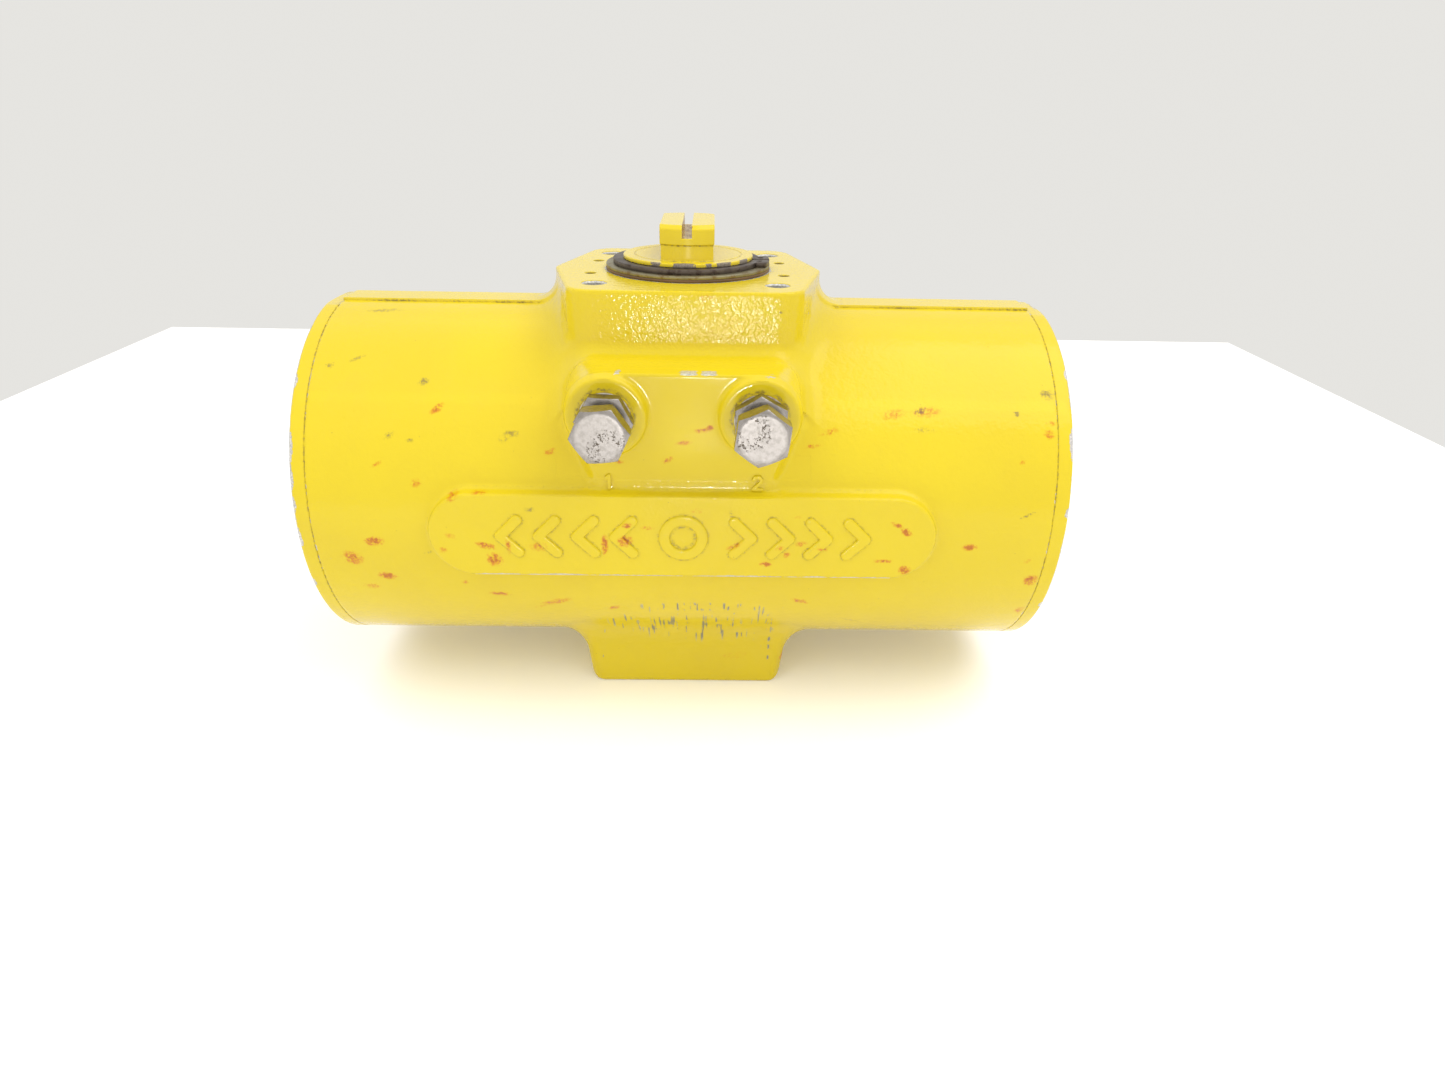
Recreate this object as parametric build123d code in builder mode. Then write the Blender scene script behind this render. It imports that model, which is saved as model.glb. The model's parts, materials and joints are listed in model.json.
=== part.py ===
"""Double-acting rack-and-pinion pneumatic rotary actuator, in millimetres.

The origin is the centre of the bottom mounting face, on the pinion axis. +X runs along the barrel,
-Y is the side with the two travel stop screws, and +Z is up, towards the position slot.
Screw threads are plain cylinders: a screw has its major radius and its tapped hole a little more.
"""

import os
from math import cos, pi, radians, sin, sqrt, tan

from build123d import *

os.makedirs("parts", exist_ok=True)

SIDES = {"left": -1, "right": 1}

# Housing
axis_height = 92.0  # barrel axis above the bottom mounting face
barrel_radius = 77.2
barrel_length = 293.2  # between the two end cap seams
bore_radius = 69.0
pad_height = 183.0  # top mounting pad above the bottom face
pad_half_depth = 51.0
pad_half_width = 57.0  # at the middle of the hexagonal pad
pad_end_half_width = 44.5  # at its front and rear edges
pad_corner_radius = 8.0
pad_tip_radius = 3.0  # at its left and right points
foot_half_width = 44.0
foot_half_depth = 46.0
foot_draft = 7.0  # degrees, on the two sides of the foot
foot_corner_radius = 6.0
foot_edge_radius = 5.0
casting_fillet = 10.0
ledge_fillet = 4.5
rail_width = 16.0
rail_foot = axis_height + 70.0
rail_top = axis_height + 77.9
bearing_boss_radius = 34.0
bearing_boss_bottom = 58.6  # from the barrel axis

# Travel stops, one screw each side of the pinion
stop_spacing = 57.4
stop_height = axis_height + 50.5
stop_block_radius = 16.0
stop_block_face = -77.0  # y of the block's front face
stop_block_root = -40.0  # y inside the barrel wall where the block starts
block_waist = (30.0, 24.0)  # |x| and height from the axis of the block's lower corners
block_waist_radius = 6.0
block_lean = (38.0, 6.0)  # heights between which the front leans back
block_lean_depth = 4.8
boss_face = -79.9
boss_taper = 22.0  # degrees
screw_radius = 6.0  # M12
thread_clearance = 0.08
screw_length = 80.0
hex_across_flats = 19.0
head_height = 7.5
head_underside = -93.9
nut_height = 6.0
washer_thickness = 1.1
washer_radius = 9.8
hex_bevel = 30.0  # degrees, of the cone that rounds off a hexagon's corners
hex_face_ratio = 0.95  # flat face's diameter against the width across flats
bevel_depth = 8.0
stop_seal_recess = 2.4
stop_recess_radius = 8.4
stop_thread_depth = 45.0

# Name panel on the barrel's front
panel_face = -80.2
panel_length = 200.0
panel_height = 35.0
panel_center_height = axis_height + 1.5
panel_edge = 1.0
panel_root = -60.0
relief_height = 0.9
relief_ring = (9.0, 6.0)  # outer and inner radius
chevron_start = 18.3
chevron_pitch = 15.0
chevron_half_height = 8.0
chevron_reach = 7.0
chevron_width = 4.0

# Mounting patterns
flange_pcd = 102.0  # ISO 5211 F10
flange_thread_hole = 8.5  # tapping size for M10
spigot_radius = 35.0
spigot_depth = 3.2
accessory_spacing = (80.0, 30.0)  # VDI/VDE 3845, M5
accessory_thread_hole = 4.2
flange_hole_mouth = 5.3  # countersink radius
accessory_hole_mouth = 2.8
valve_spacing = (32.0, 24.0)  # solenoid valve interface, M5
port_spacing = 24.0
port_radius = 5.9  # G1/4 tapping size
port_depth = 9.0
valve_pad_size = (56.0, 46.0)
valve_pad_face = 81.0
gallery_center = (71.6, 14.0)  # y, and z from the barrel axis
gallery_radius = 2.5
gallery_reach = 131.0  # |x| of the gallery's blind left end
plug_length = 3.4

# Gear set: one pinion between two racks
module = 3.0
teeth = 16
pressure_angle = 20.0
pitch_radius = module * teeth / 2
tip_radius = pitch_radius + module
root_radius = pitch_radius - 1.25 * module
rack_addendum = 2.6
flank_clearance = 0.12
gear_half_height = 17.0
rack_half_height = 16.0

# Pinion, heights from the barrel axis
journal_radius = 27.5
bottom_journal_radius = 32.0
shaft_radius = 26.0
running_clearance = 0.06
pinion_foot = -88.0
pinion_top = 97.1
drive_top = 111.0
drive_radius = 22.5
drive_half_width = 11.1
drive_undercut_top = 103.2
drive_undercut = 0.4
drive_chamfer = 1.5
slot_width = 4.0
slot_depth = 5.0
socket_size = 22.0
socket_depth = 28.0
stop_sector_radius = bottom_journal_radius
stop_notch_radius = 26.0
stop_flat = -(head_underside + screw_length) - 0.05  # each stop flat's distance from the axis
stop_sector = (44.5, 56.5)

# Shaft retaining stack on top of the pad
thrust_bearing_thickness = 1.2
thrust_washer_thickness = 1.3
circlip_thickness = 2.0
circlip_groove_radius = 26.0

# Pistons
piston_radius = 68.6
piston_inner_face = 50.0  # |x| of the head's inner face when closed
piston_length = 38.0
piston_web = 14.0
piston_skirt = 8.0
rack_tip = 48.0  # how far each rack reaches past the pinion
rack_half_width = 20.0
rack_back = 48.0

# End caps
cap_flange = 6.2
cap_spigot_depth = 15.6
cap_flat_height = axis_height + 76.0
key_position = 141.0
key_size = 4.0
key_slot_angle = -30.0  # degrees below the rear horizontal, where the key is threaded in
key_sweep = 320.0
cap_seal_position = 134.8
ring_section = 3.5

barrel_end = barrel_length / 2


def save(part, name):
    """Label a finished piece and write it to its own STEP file."""
    part.label = name
    export_step(part, f"parts/{name}.step")


def barrel_plane(x):
    """Sketch plane across the barrel at x: its first axis is +Y and its second is +Z."""
    return Plane(origin=(x, 0, axis_height), x_dir=(0, 1, 0), z_dir=(1, 0, 0))


def front_plane(distance):
    """Sketch plane facing -Y at y = -distance, with x along +X and y along +Z from the base."""
    return Plane.XZ.offset(distance)


def above_axis(height):
    """Horizontal sketch plane at a height measured from the barrel axis."""
    return Plane.XY.offset(axis_height + height)


def distance_from_barrel_axis(point):
    return sqrt(point.Y**2 + (point.Z - axis_height) ** 2)


def lies_on_barrel(edge):
    """True for an edge where the neck or the foot runs into the barrel."""
    points = [edge @ t for t in (0, 0.25, 0.5, 0.75, 1)]
    on_surface = all(abs(distance_from_barrel_axis(p) - barrel_radius) < 0.05 for p in points)
    return on_surface and abs(points[2].X) < barrel_end - 10


def ring(plane, outer, inner, thickness):
    """A flat ring standing on a plane, as a finished part."""
    with BuildPart() as result:
        with BuildSketch(plane):
            Circle(outer)
            Circle(inner, mode=Mode.SUBTRACT)
        extrude(amount=thickness)
    return result.part


def o_ring(plane, centre_radius, section):
    """A round-section seal ring centred on a plane's origin."""
    with BuildPart() as result:
        with BuildSketch(Plane(origin=plane.origin, x_dir=plane.x_dir, z_dir=-plane.y_dir)):
            with Locations((centre_radius, 0)):
                Circle(section / 2)
        revolve(axis=Axis(plane.origin, plane.z_dir))
    return result.part


# ---------------------------------------------------------------- housing

# The stop block carries both screw bosses and leans back into the barrel below them. A concave
# run-out joins the ledge on its top to the front of the neck.
ledge = stop_height - axis_height + stop_block_radius
runout_top = (-pad_half_depth, ledge + ledge_fillet)
runout_middle = (
    -pad_half_depth - ledge_fillet * (1 - sqrt(0.5)),
    ledge + ledge_fillet * (1 - sqrt(0.5)),
)
runout_foot = (-pad_half_depth - ledge_fillet, ledge)
runout_bottom = ledge - stop_block_radius

with BuildPart() as stop_block:
    waist_x, waist_z = block_waist
    with BuildSketch(front_plane(-stop_block_root)):
        with BuildLine():
            for side in SIDES.values():
                CenterArc((side * stop_spacing / 2, stop_height), stop_block_radius, 0, 360)
                CenterArc((side * waist_x, axis_height + waist_z), block_waist_radius, 0, 360)
        make_hull()
    extrude(amount=stop_block_root - stop_block_face)
    lean_top, lean_foot = block_lean
    in_front = stop_block_face - 10
    with BuildSketch(barrel_plane(-pad_half_width)):
        with BuildLine():
            Polyline(
                (stop_block_face, lean_top),
                (in_front, lean_top),
                (in_front, lean_foot),
                (stop_block_face + block_lean_depth, lean_foot),
                close=True,
            )
        make_face()
    extrude(amount=2 * pad_half_width, mode=Mode.SUBTRACT)
    with BuildSketch(barrel_plane(-stop_spacing / 2)):
        with BuildLine():
            Line((stop_block_root, runout_bottom), (stop_block_root, runout_top[1]))
            Line((stop_block_root, runout_top[1]), runout_top)
            ThreePointArc(runout_top, runout_middle, runout_foot)
            Line(runout_foot, (runout_foot[0], runout_bottom))
            Line((runout_foot[0], runout_bottom), (stop_block_root, runout_bottom))
        make_face()
    extrude(amount=stop_spacing)
    # raised screw bosses with a tapered rim
    with BuildSketch(front_plane(-stop_block_face)):
        with Locations(*[(s * stop_spacing / 2, stop_height) for s in SIDES.values()]):
            Circle(stop_block_radius)
    extrude(amount=stop_block_face - boss_face, taper=boss_taper)

# The raised name panel, its plain relief, and a pad for a valve at the back.
with BuildPart() as front_panel:
    with BuildSketch(front_plane(-panel_root)):
        with Locations((0, panel_center_height)):
            SlotOverall(panel_length, panel_height)
    extrude(amount=panel_root - panel_face)
    chamfer(front_panel.faces().sort_by(Axis.Y)[0].edges(), panel_edge)
    with BuildSketch(Plane(origin=(0, panel_face, panel_center_height), x_dir=(1, 0, 0), z_dir=(0, -1, 0))):
        Circle(relief_ring[0])
        Circle(relief_ring[1], mode=Mode.SUBTRACT)
        for side in SIDES.values():
            for step in range(4):
                heel = side * (chevron_start + chevron_pitch * step)
                stroke = side * chevron_width
                point = heel + side * chevron_reach
                with BuildLine():
                    Polyline(
                        (heel, chevron_half_height),
                        (point, 0),
                        (heel, -chevron_half_height),
                        (heel + stroke, -chevron_half_height),
                        (point + stroke, 0),
                        (heel + stroke, chevron_half_height),
                        close=True,
                    )
                make_face()
    extrude(amount=relief_height)

with BuildPart() as housing:
    with BuildSketch(barrel_plane(-barrel_end)):
        Circle(barrel_radius)
    extrude(amount=barrel_length)

    with BuildSketch(Plane.XY.offset(axis_height)) as pad_outline:
        with BuildLine():
            Polyline(
                (-pad_end_half_width, -pad_half_depth),
                (pad_end_half_width, -pad_half_depth),
                (pad_half_width, 0),
                (pad_end_half_width, pad_half_depth),
                (-pad_end_half_width, pad_half_depth),
                (-pad_half_width, 0),
                close=True,
            )
        make_face()
        fillet([v for v in pad_outline.vertices() if abs(v.Y) > 1], pad_corner_radius)
        fillet([v for v in pad_outline.vertices() if abs(v.Y) < 1], pad_tip_radius)
    extrude(amount=pad_height - axis_height)

    foot_top = axis_height - 20
    foot_spread = foot_half_width + foot_top * tan(radians(foot_draft))
    with BuildSketch(front_plane(-foot_half_depth)) as foot_outline:
        with BuildLine():
            Polyline(
                (-foot_half_width, 0),
                (foot_half_width, 0),
                (foot_spread, foot_top),
                (-foot_spread, foot_top),
                close=True,
            )
        make_face()
        fillet([v for v in foot_outline.vertices() if v.Z < 1], foot_corner_radius)
    extrude(amount=2 * foot_half_depth)
    upright = [e for e in housing.edges() if abs(abs((e @ 0.5).Y) - foot_half_depth) < 0.01]
    sides = [e for e in upright if (e @ 0.5).Z < 40 and abs((e @ 0.5).X) > foot_half_width + 0.5]
    fillet(sides, foot_edge_radius)
    fillet([e for e in housing.edges() if lies_on_barrel(e)], casting_fillet)

    add(stop_block.part)
    add(front_panel.part)

    # rail over the air gallery, broken by the neck
    with BuildSketch(Plane.XY.offset(rail_foot)):
        Rectangle(barrel_length, rail_width)
    extrude(amount=rail_top - rail_foot)

    # valve pad at the back
    with BuildSketch(front_plane(-valve_pad_face)):
        with Locations((0, axis_height)):
            RectangleRounded(*valve_pad_size, 6)
    extrude(amount=20)

    # cylinder bore, then a boss inside it for the pinion's upper bearing
    with BuildSketch(barrel_plane(-barrel_end)):
        Circle(bore_radius)
    extrude(amount=barrel_length, mode=Mode.SUBTRACT)
    with BuildSketch(above_axis(bearing_boss_bottom)):
        Circle(bearing_boss_radius)
    extrude(amount=20)

    # key grooves near both ends, each with a slot to thread the key in
    for side in SIDES.values():
        groove = barrel_plane(side * key_position - key_size / 2 - 0.1)
        with BuildSketch(groove):
            Circle(bore_radius + 2.1)
            Circle(bore_radius - 1, mode=Mode.SUBTRACT)
        extrude(amount=key_size + 0.2, mode=Mode.SUBTRACT)
        with BuildSketch(groove):
            with PolarLocations(barrel_radius - 2, 1, start_angle=key_slot_angle):
                Rectangle(14, 9)
        extrude(amount=key_size + 0.2, mode=Mode.SUBTRACT)

    # pinion bores from the pad, the bearing boss and the foot
    for bottom, top, radius in (
        (50, pad_height, journal_radius + 0.4),
        (bearing_boss_bottom, 78, journal_radius + 3),
        (-axis_height, -55, bottom_journal_radius + 0.4),
        (-axis_height, -73.5, bottom_journal_radius + 2.5),
    ):
        with BuildSketch(above_axis(bottom)):
            Circle(radius)
        extrude(amount=top - bottom, mode=Mode.SUBTRACT)
    with BuildSketch():
        Circle(spigot_radius)
    extrude(amount=spigot_depth, mode=Mode.SUBTRACT)

    # threaded mounting holes
    top_pad = Plane.XY.offset(pad_height)
    bottom_face = Plane(origin=(0, 0, 0), x_dir=(1, 0, 0), z_dir=(0, 0, -1))
    with Locations(bottom_face):
        with PolarLocations(flange_pcd / 2, 4, start_angle=45):
            Hole(flange_thread_hole / 2, 16)
    with Locations(top_pad):
        with PolarLocations(flange_pcd / 2, 4, start_angle=45):
            CounterSinkHole(flange_thread_hole / 2, flange_hole_mouth, 18)
        with GridLocations(*accessory_spacing, 2, 2):
            CounterSinkHole(accessory_thread_hole / 2, accessory_hole_mouth, 10)

    # stop screw holes with a recess for each seal
    for side in SIDES.values():
        with BuildSketch(front_plane(-boss_face)):
            with Locations((side * stop_spacing / 2, stop_height)):
                Circle(screw_radius + thread_clearance)
        extrude(amount=-stop_thread_depth, mode=Mode.SUBTRACT)
        with BuildSketch(front_plane(-boss_face)):
            with Locations((side * stop_spacing / 2, stop_height)):
                Circle(stop_recess_radius)
        extrude(amount=-stop_seal_recess, mode=Mode.SUBTRACT)

    # two air ports and the valve's fixing holes
    back_face = Plane(origin=(0, valve_pad_face, axis_height), x_dir=(-1, 0, 0), z_dir=(0, 1, 0))
    with Locations(back_face):
        with GridLocations(*valve_spacing, 2, 2):
            Hole(accessory_thread_hole / 2, 8)
        with GridLocations(port_spacing, 0, 2, 1):
            CounterSinkHole(port_radius, port_radius + 0.8, port_depth)

    # port A opens between the pistons, port B feeds a gallery to both end chambers
    port_a_bottom = (-port_spacing / 2, 60, axis_height)
    with BuildSketch(Plane(origin=port_a_bottom, x_dir=(1, 0, 0), z_dir=(0, 1, 0))):
        Circle(3)
    extrude(amount=15, mode=Mode.SUBTRACT)
    gallery_mouth = barrel_plane(barrel_end)
    with BuildSketch(gallery_mouth):
        with Locations(gallery_center):
            Circle(gallery_radius)
    extrude(amount=-barrel_end - gallery_reach, mode=Mode.SUBTRACT)
    with BuildSketch(Plane.XY.offset(axis_height)):
        with Locations((port_spacing / 2, gallery_center[0] + 1.9)):
            Circle(2)
    extrude(amount=gallery_center[1], mode=Mode.SUBTRACT)
    for side in SIDES.values():
        with BuildSketch(Plane.XZ.offset(-60)):
            with Locations((side * (gallery_reach - gallery_radius), axis_height + gallery_center[1])):
                Circle(2)
        extrude(amount=60 - gallery_center[0], mode=Mode.SUBTRACT)
save(housing.part, "housing")

with BuildPart() as gallery_plug:
    with BuildSketch(gallery_mouth):
        with Locations(gallery_center):
            Circle(gallery_radius)
    extrude(amount=-plug_length)
save(gallery_plug.part, "gallery_plug")

# ---------------------------------------------------------------- end caps

for name, side in SIDES.items():
    seam = barrel_plane(side * barrel_end)
    inward = -side
    with BuildPart() as end_cap:
        with BuildSketch(seam):
            Circle(barrel_radius)
        extrude(amount=side * cap_flange)
        fillet(end_cap.faces().sort_by(Axis.X)[-1 if side > 0 else 0].edges(), 1.2)
        with BuildSketch(seam):
            Circle(bore_radius - 0.05)
        extrude(amount=inward * cap_spigot_depth)
        with BuildSketch(barrel_plane(side * (barrel_end - cap_spigot_depth))):
            Circle(56)
        extrude(amount=side * (cap_spigot_depth + 1), mode=Mode.SUBTRACT)
        # flat on the rim's top, level with the foot of the rail
        with BuildSketch(Plane.XY.offset(cap_flat_height)):
            with Locations((side * (barrel_end + 4), 0)):
                Rectangle(8, 60)
        extrude(amount=5, mode=Mode.SUBTRACT)
        # key groove and seal groove in the spigot
        for position, depth, width in (
            (key_position, bore_radius - 2.1, key_size + 0.2),
            (cap_seal_position, bore_radius - 3.6, ring_section + 0.7),
        ):
            with BuildSketch(barrel_plane(side * position - width / 2)):
                Circle(bore_radius)
                Circle(depth, mode=Mode.SUBTRACT)
            extrude(amount=width, mode=Mode.SUBTRACT)
    save(end_cap.part, f"end_cap_{name}")

    # spring steel key, bent outwards at the end that sits in the housing's slot
    with BuildPart() as key:
        with BuildSketch(barrel_plane(side * key_position - key_size / 2)):
            with BuildLine():
                outer = CenterArc((0, 0), bore_radius + key_size / 2, key_slot_angle, key_sweep)
                inner = CenterArc((0, 0), bore_radius - key_size / 2, key_slot_angle, key_sweep)
                Line(outer @ 0, inner @ 0)
                Line(outer @ 1, inner @ 1)
            make_face()
            with PolarLocations(bore_radius + 3, 1, start_angle=key_slot_angle + 1.5):
                Rectangle(10, key_size)
        extrude(amount=key_size)
    save(key.part, f"end_cap_key_{name}")

    save(
        o_ring(barrel_plane(side * cap_seal_position), bore_radius - 0.05 - ring_section / 2, ring_section),
        f"end_cap_seal_{name}",
    )

# ---------------------------------------------------------------- pinion


def involute_angle(radius, base_radius):
    """Polar angle swept by an involute between its base circle and a radius."""
    slope = sqrt(max((radius / base_radius) ** 2 - 1, 0))
    return slope - Vector(1, slope).get_angle(Vector(1, 0)) * pi / 180


def flank(side):
    """One flank of the tooth that stands on +X, from root to tip, as points for a spline."""
    base_radius = pitch_radius * cos(radians(pressure_angle))
    half_tooth = pi / (2 * teeth) - flank_clearance / pitch_radius
    at_pitch = involute_angle(pitch_radius, base_radius)
    points = []
    for step in range(5):
        radius = base_radius + (tip_radius - base_radius) * step / 4
        angle = half_tooth + at_pitch - involute_angle(radius, base_radius)
        points.append((radius * cos(side * angle), radius * sin(side * angle)))
    return points


with BuildPart() as pinion:
    with BuildSketch(above_axis(pinion_foot)):
        Circle(bottom_journal_radius)
    extrude(amount=-62 - pinion_foot)
    with BuildSketch(above_axis(-62)):
        Circle(shaft_radius)
    extrude(amount=62 + stop_sector[0])

    # stop sector: both flats meet a screw tip, a quarter turn apart
    with BuildSketch(above_axis(stop_sector[0])):
        Circle(stop_sector_radius)
        with Locations((-stop_flat - 50, 0), (0, -stop_flat - 50)):
            Rectangle(100, 100, mode=Mode.SUBTRACT)
        Circle(stop_notch_radius)
    extrude(amount=stop_sector[1] - stop_sector[0])
    with BuildSketch(above_axis(stop_sector[1])):
        Circle(journal_radius)
    extrude(amount=pinion_top - stop_sector[1])

    # gear: root cylinder plus one tooth repeated round it, with a tooth on +Y and on -Y
    with BuildSketch(above_axis(-gear_half_height)):
        with PolarLocations(0, teeth, start_angle=90):
            with BuildLine():
                upper = Spline(*flank(1))
                lower = Spline(*flank(-1))
                tip = RadiusArc(upper @ 1, lower @ 1, tip_radius)
                upper_root = Line(upper @ 0, (root_radius - 1, (upper @ 0).Y))
                lower_root = Line(lower @ 0, (root_radius - 1, (lower @ 0).Y))
                Line(upper_root @ 1, lower_root @ 1)
            make_face()
    gear_teeth = extrude(amount=2 * gear_half_height, mode=Mode.PRIVATE)
    with BuildSketch(above_axis(-gear_half_height)):
        Circle(shaft_radius + 1)
        Circle(root_radius, mode=Mode.SUBTRACT)
    extrude(amount=2 * gear_half_height, mode=Mode.SUBTRACT)
    add(gear_teeth)

    # drive end: turned boss with two flats and a slot, undercut above the shaft's end face
    with BuildSketch(above_axis(pinion_top)):
        Circle(drive_radius)
        Rectangle(2 * drive_half_width, 60, mode=Mode.INTERSECT)
    extrude(amount=drive_top - pinion_top)
    with BuildSketch(above_axis(pinion_top)):
        Circle(drive_radius + 1)
        with BuildSketch(mode=Mode.PRIVATE) as neck_section:
            Circle(drive_radius - drive_undercut)
            Rectangle(2 * (drive_half_width - drive_undercut), 60, mode=Mode.INTERSECT)
        add(neck_section.sketch, mode=Mode.SUBTRACT)
    extrude(amount=drive_undercut_top - pinion_top, mode=Mode.SUBTRACT)
    rim = pinion.faces().sort_by(Axis.Z)[-1].edges().filter_by(GeomType.CIRCLE)
    chamfer(rim, drive_chamfer)
    with BuildSketch(above_axis(drive_top - slot_depth)):
        Rectangle(slot_width, 60)
    extrude(amount=slot_depth, mode=Mode.SUBTRACT)
    at_top = [e for e in pinion.edges() if abs((e @ 0.5).Z - axis_height - pinion_top) < 0.01]
    chamfer([e for e in at_top if e.geom_type == GeomType.CIRCLE and e.radius > journal_radius - 0.5], 0.4)

    # grooves: circlip, upper and lower seal
    for bottom, width, radius in (
        (pad_height - axis_height + 2.45, circlip_thickness + 0.1, circlip_groove_radius),
        (84.2, 3.7, journal_radius - 2.9),
        (-72.4, 4.0, bottom_journal_radius - 3.1),
    ):
        with BuildSketch(above_axis(bottom)):
            Circle(bottom_journal_radius + 1)
            Circle(radius, mode=Mode.SUBTRACT)
        extrude(amount=width, mode=Mode.SUBTRACT)

    # double-square drive socket
    with BuildSketch(above_axis(pinion_foot)):
        Rectangle(socket_size, socket_size)
        Rectangle(socket_size, socket_size, rotation=45)
    extrude(amount=socket_depth, mode=Mode.SUBTRACT)
save(pinion.part, "pinion")

# Upper bearing: a flanged bush whose flange takes the pinion's upward thrust.
with BuildPart() as top_bearing:
    with BuildSketch(above_axis(56.8)):
        Circle(31.6)
    extrude(amount=1.8)
    with BuildSketch(above_axis(bearing_boss_bottom)):
        Circle(journal_radius + 3)
    extrude(amount=19.4)
    with BuildSketch(above_axis(56.8)):
        Circle(journal_radius + running_clearance)
    extrude(amount=22, mode=Mode.SUBTRACT)
save(top_bearing.part, "pinion_top_bearing")

save(
    ring(above_axis(-87), bottom_journal_radius + 2.5, bottom_journal_radius + running_clearance, 13.5),
    "pinion_bottom_bearing",
)
save(o_ring(above_axis(86.05), journal_radius + 0.36 - 1.6, 3.2), "pinion_top_seal")
save(o_ring(above_axis(-70.4), bottom_journal_radius + 0.36 - 1.7, 3.4), "pinion_bottom_seal")

# Retaining stack on the pad: bearing ring, washer and circlip.
stack = pad_height
save(ring(Plane.XY.offset(stack), 34.9, journal_radius + 0.5, thrust_bearing_thickness), "thrust_bearing")
stack += thrust_bearing_thickness
save(ring(Plane.XY.offset(stack), 34.8, journal_radius + 0.1, thrust_washer_thickness), "thrust_washer")
stack += thrust_washer_thickness

with BuildPart() as circlip:
    with BuildSketch(Plane.XY.offset(stack)):
        with Locations((-0.6, 0)):
            Circle(31.2)
        # lugs on both sides of the gap, each with a hole for the pliers
        with PolarLocations(30.5, 2, start_angle=-14, angular_range=16, endpoint=True):
            Rectangle(8, 6.5)
        Circle(circlip_groove_radius + 0.1, mode=Mode.SUBTRACT)
        with PolarLocations(30, 1, start_angle=-6):
            Rectangle(16, 2.4, mode=Mode.SUBTRACT)
        with PolarLocations(31, 2, start_angle=-14, angular_range=16, endpoint=True):
            Circle(1.25, mode=Mode.SUBTRACT)
    extrude(amount=circlip_thickness)
save(circlip.part, "circlip")

# ---------------------------------------------------------------- pistons

# Each piston pushes one rack: the right piston's rack runs in front of the pinion (-Y), the left
# piston's behind it (+Y), so both pistons move apart when the pinion turns anticlockwise from above.
rack_pitch = pi * module


def rack_gap_outline(side, x):
    """Gap between two rack teeth, centred on x and opening towards the pinion."""
    toward = side  # the right rack lies at -Y, so its teeth point to +Y
    pitch_line = -side * pitch_radius
    slope = tan(radians(pressure_angle))
    half_gap = rack_pitch / 4 + flank_clearance
    mouth = pitch_line + toward * (rack_addendum + 1)
    floor = pitch_line - toward * (tip_radius - pitch_radius + 0.75)
    at_mouth = half_gap + (rack_addendum + 1) * slope
    at_floor = half_gap - (tip_radius - pitch_radius + 0.75) * slope
    return [(x - at_mouth, mouth), (x + at_mouth, mouth), (x + at_floor, floor), (x - at_floor, floor)]


for name, side in SIDES.items():
    inner_face = barrel_plane(side * piston_inner_face)
    front = -side  # y direction from the pinion towards this piston's rack
    with BuildPart() as piston:
        with BuildSketch(inner_face):
            Circle(piston_radius)
        extrude(amount=side * piston_length)
        with BuildSketch(barrel_plane(side * (piston_inner_face + piston_web))):
            Circle(piston_radius - piston_skirt)
        extrude(amount=side * piston_length, mode=Mode.SUBTRACT)
        rims = [e for e in piston.edges().filter_by(GeomType.CIRCLE) if e.radius > piston_radius - 0.1]
        chamfer(rims, 1)

        # rack arm: a toothed bar and a rib that carries the guide pad
        with BuildSketch(inner_face):
            bar_face = pitch_radius - rack_addendum
            with Locations((front * (bar_face + rack_back) / 2, 0)):
                Rectangle(rack_back - bar_face, 2 * rack_half_width)
            with Locations((front * 56, 0)):
                Rectangle(18, 18)
            Circle(bore_radius - 3.1, mode=Mode.INTERSECT)
        extrude(amount=-side * (piston_inner_face + rack_tip))

        # tooth gaps along the bar, and full relief above and below the teeth
        for index in range(-5, 2):
            with BuildSketch(above_axis(-rack_half_height)):
                with BuildLine():
                    Polyline(*rack_gap_outline(side, side * index * rack_pitch), close=True)
                make_face()
            extrude(amount=2 * rack_half_height, mode=Mode.SUBTRACT)
        relief = pitch_radius + module + 0.75
        relief_height_each = rack_half_width + 1 - rack_half_height
        for low in (-rack_half_width - 1, rack_half_height):
            with BuildSketch(above_axis(low)):
                with Locations((0, front * (relief - 10))):
                    Rectangle(2 * piston_inner_face, 20)
            extrude(amount=relief_height_each, mode=Mode.SUBTRACT)
        # plain end of the bar behind the last tooth clears the pinion
        with BuildSketch(above_axis(-rack_half_height)):
            with Locations((side * 32, front * (relief - 10))):
                Rectangle(36, 20)
        extrude(amount=2 * rack_half_height, mode=Mode.SUBTRACT)

        # grooves for the seal and the guide band
        for position, depth, width in ((57, 3.6, ring_section + 0.7), (80, 2.0, 10.2)):
            with BuildSketch(barrel_plane(side * position - width / 2)):
                Circle(bore_radius)
                Circle(bore_radius - 0.05 - depth, mode=Mode.SUBTRACT)
            extrude(amount=width, mode=Mode.SUBTRACT)
    save(piston.part, f"piston_{name}")

    save(
        o_ring(barrel_plane(side * 57), bore_radius - 0.05 - ring_section / 2, ring_section),
        f"piston_seal_{name}",
    )
    guide_band = ring(barrel_plane(side * 80 - 5), bore_radius - 0.07, bore_radius - 2.05, 10)
    save(guide_band, f"piston_guide_band_{name}")

    # guide pad between the rack's rib and the bore
    with BuildPart() as guide_pad:
        with BuildSketch(barrel_plane(side * 4 - 40)):
            Circle(bore_radius - 0.07)
            Circle(bore_radius - 3.1, mode=Mode.SUBTRACT)
            with Locations((front * 66, 0)):
                Rectangle(12, 17, mode=Mode.INTERSECT)
        extrude(amount=80)
    save(guide_pad.part, f"rack_guide_pad_{name}")

# ---------------------------------------------------------------- travel stops


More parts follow.
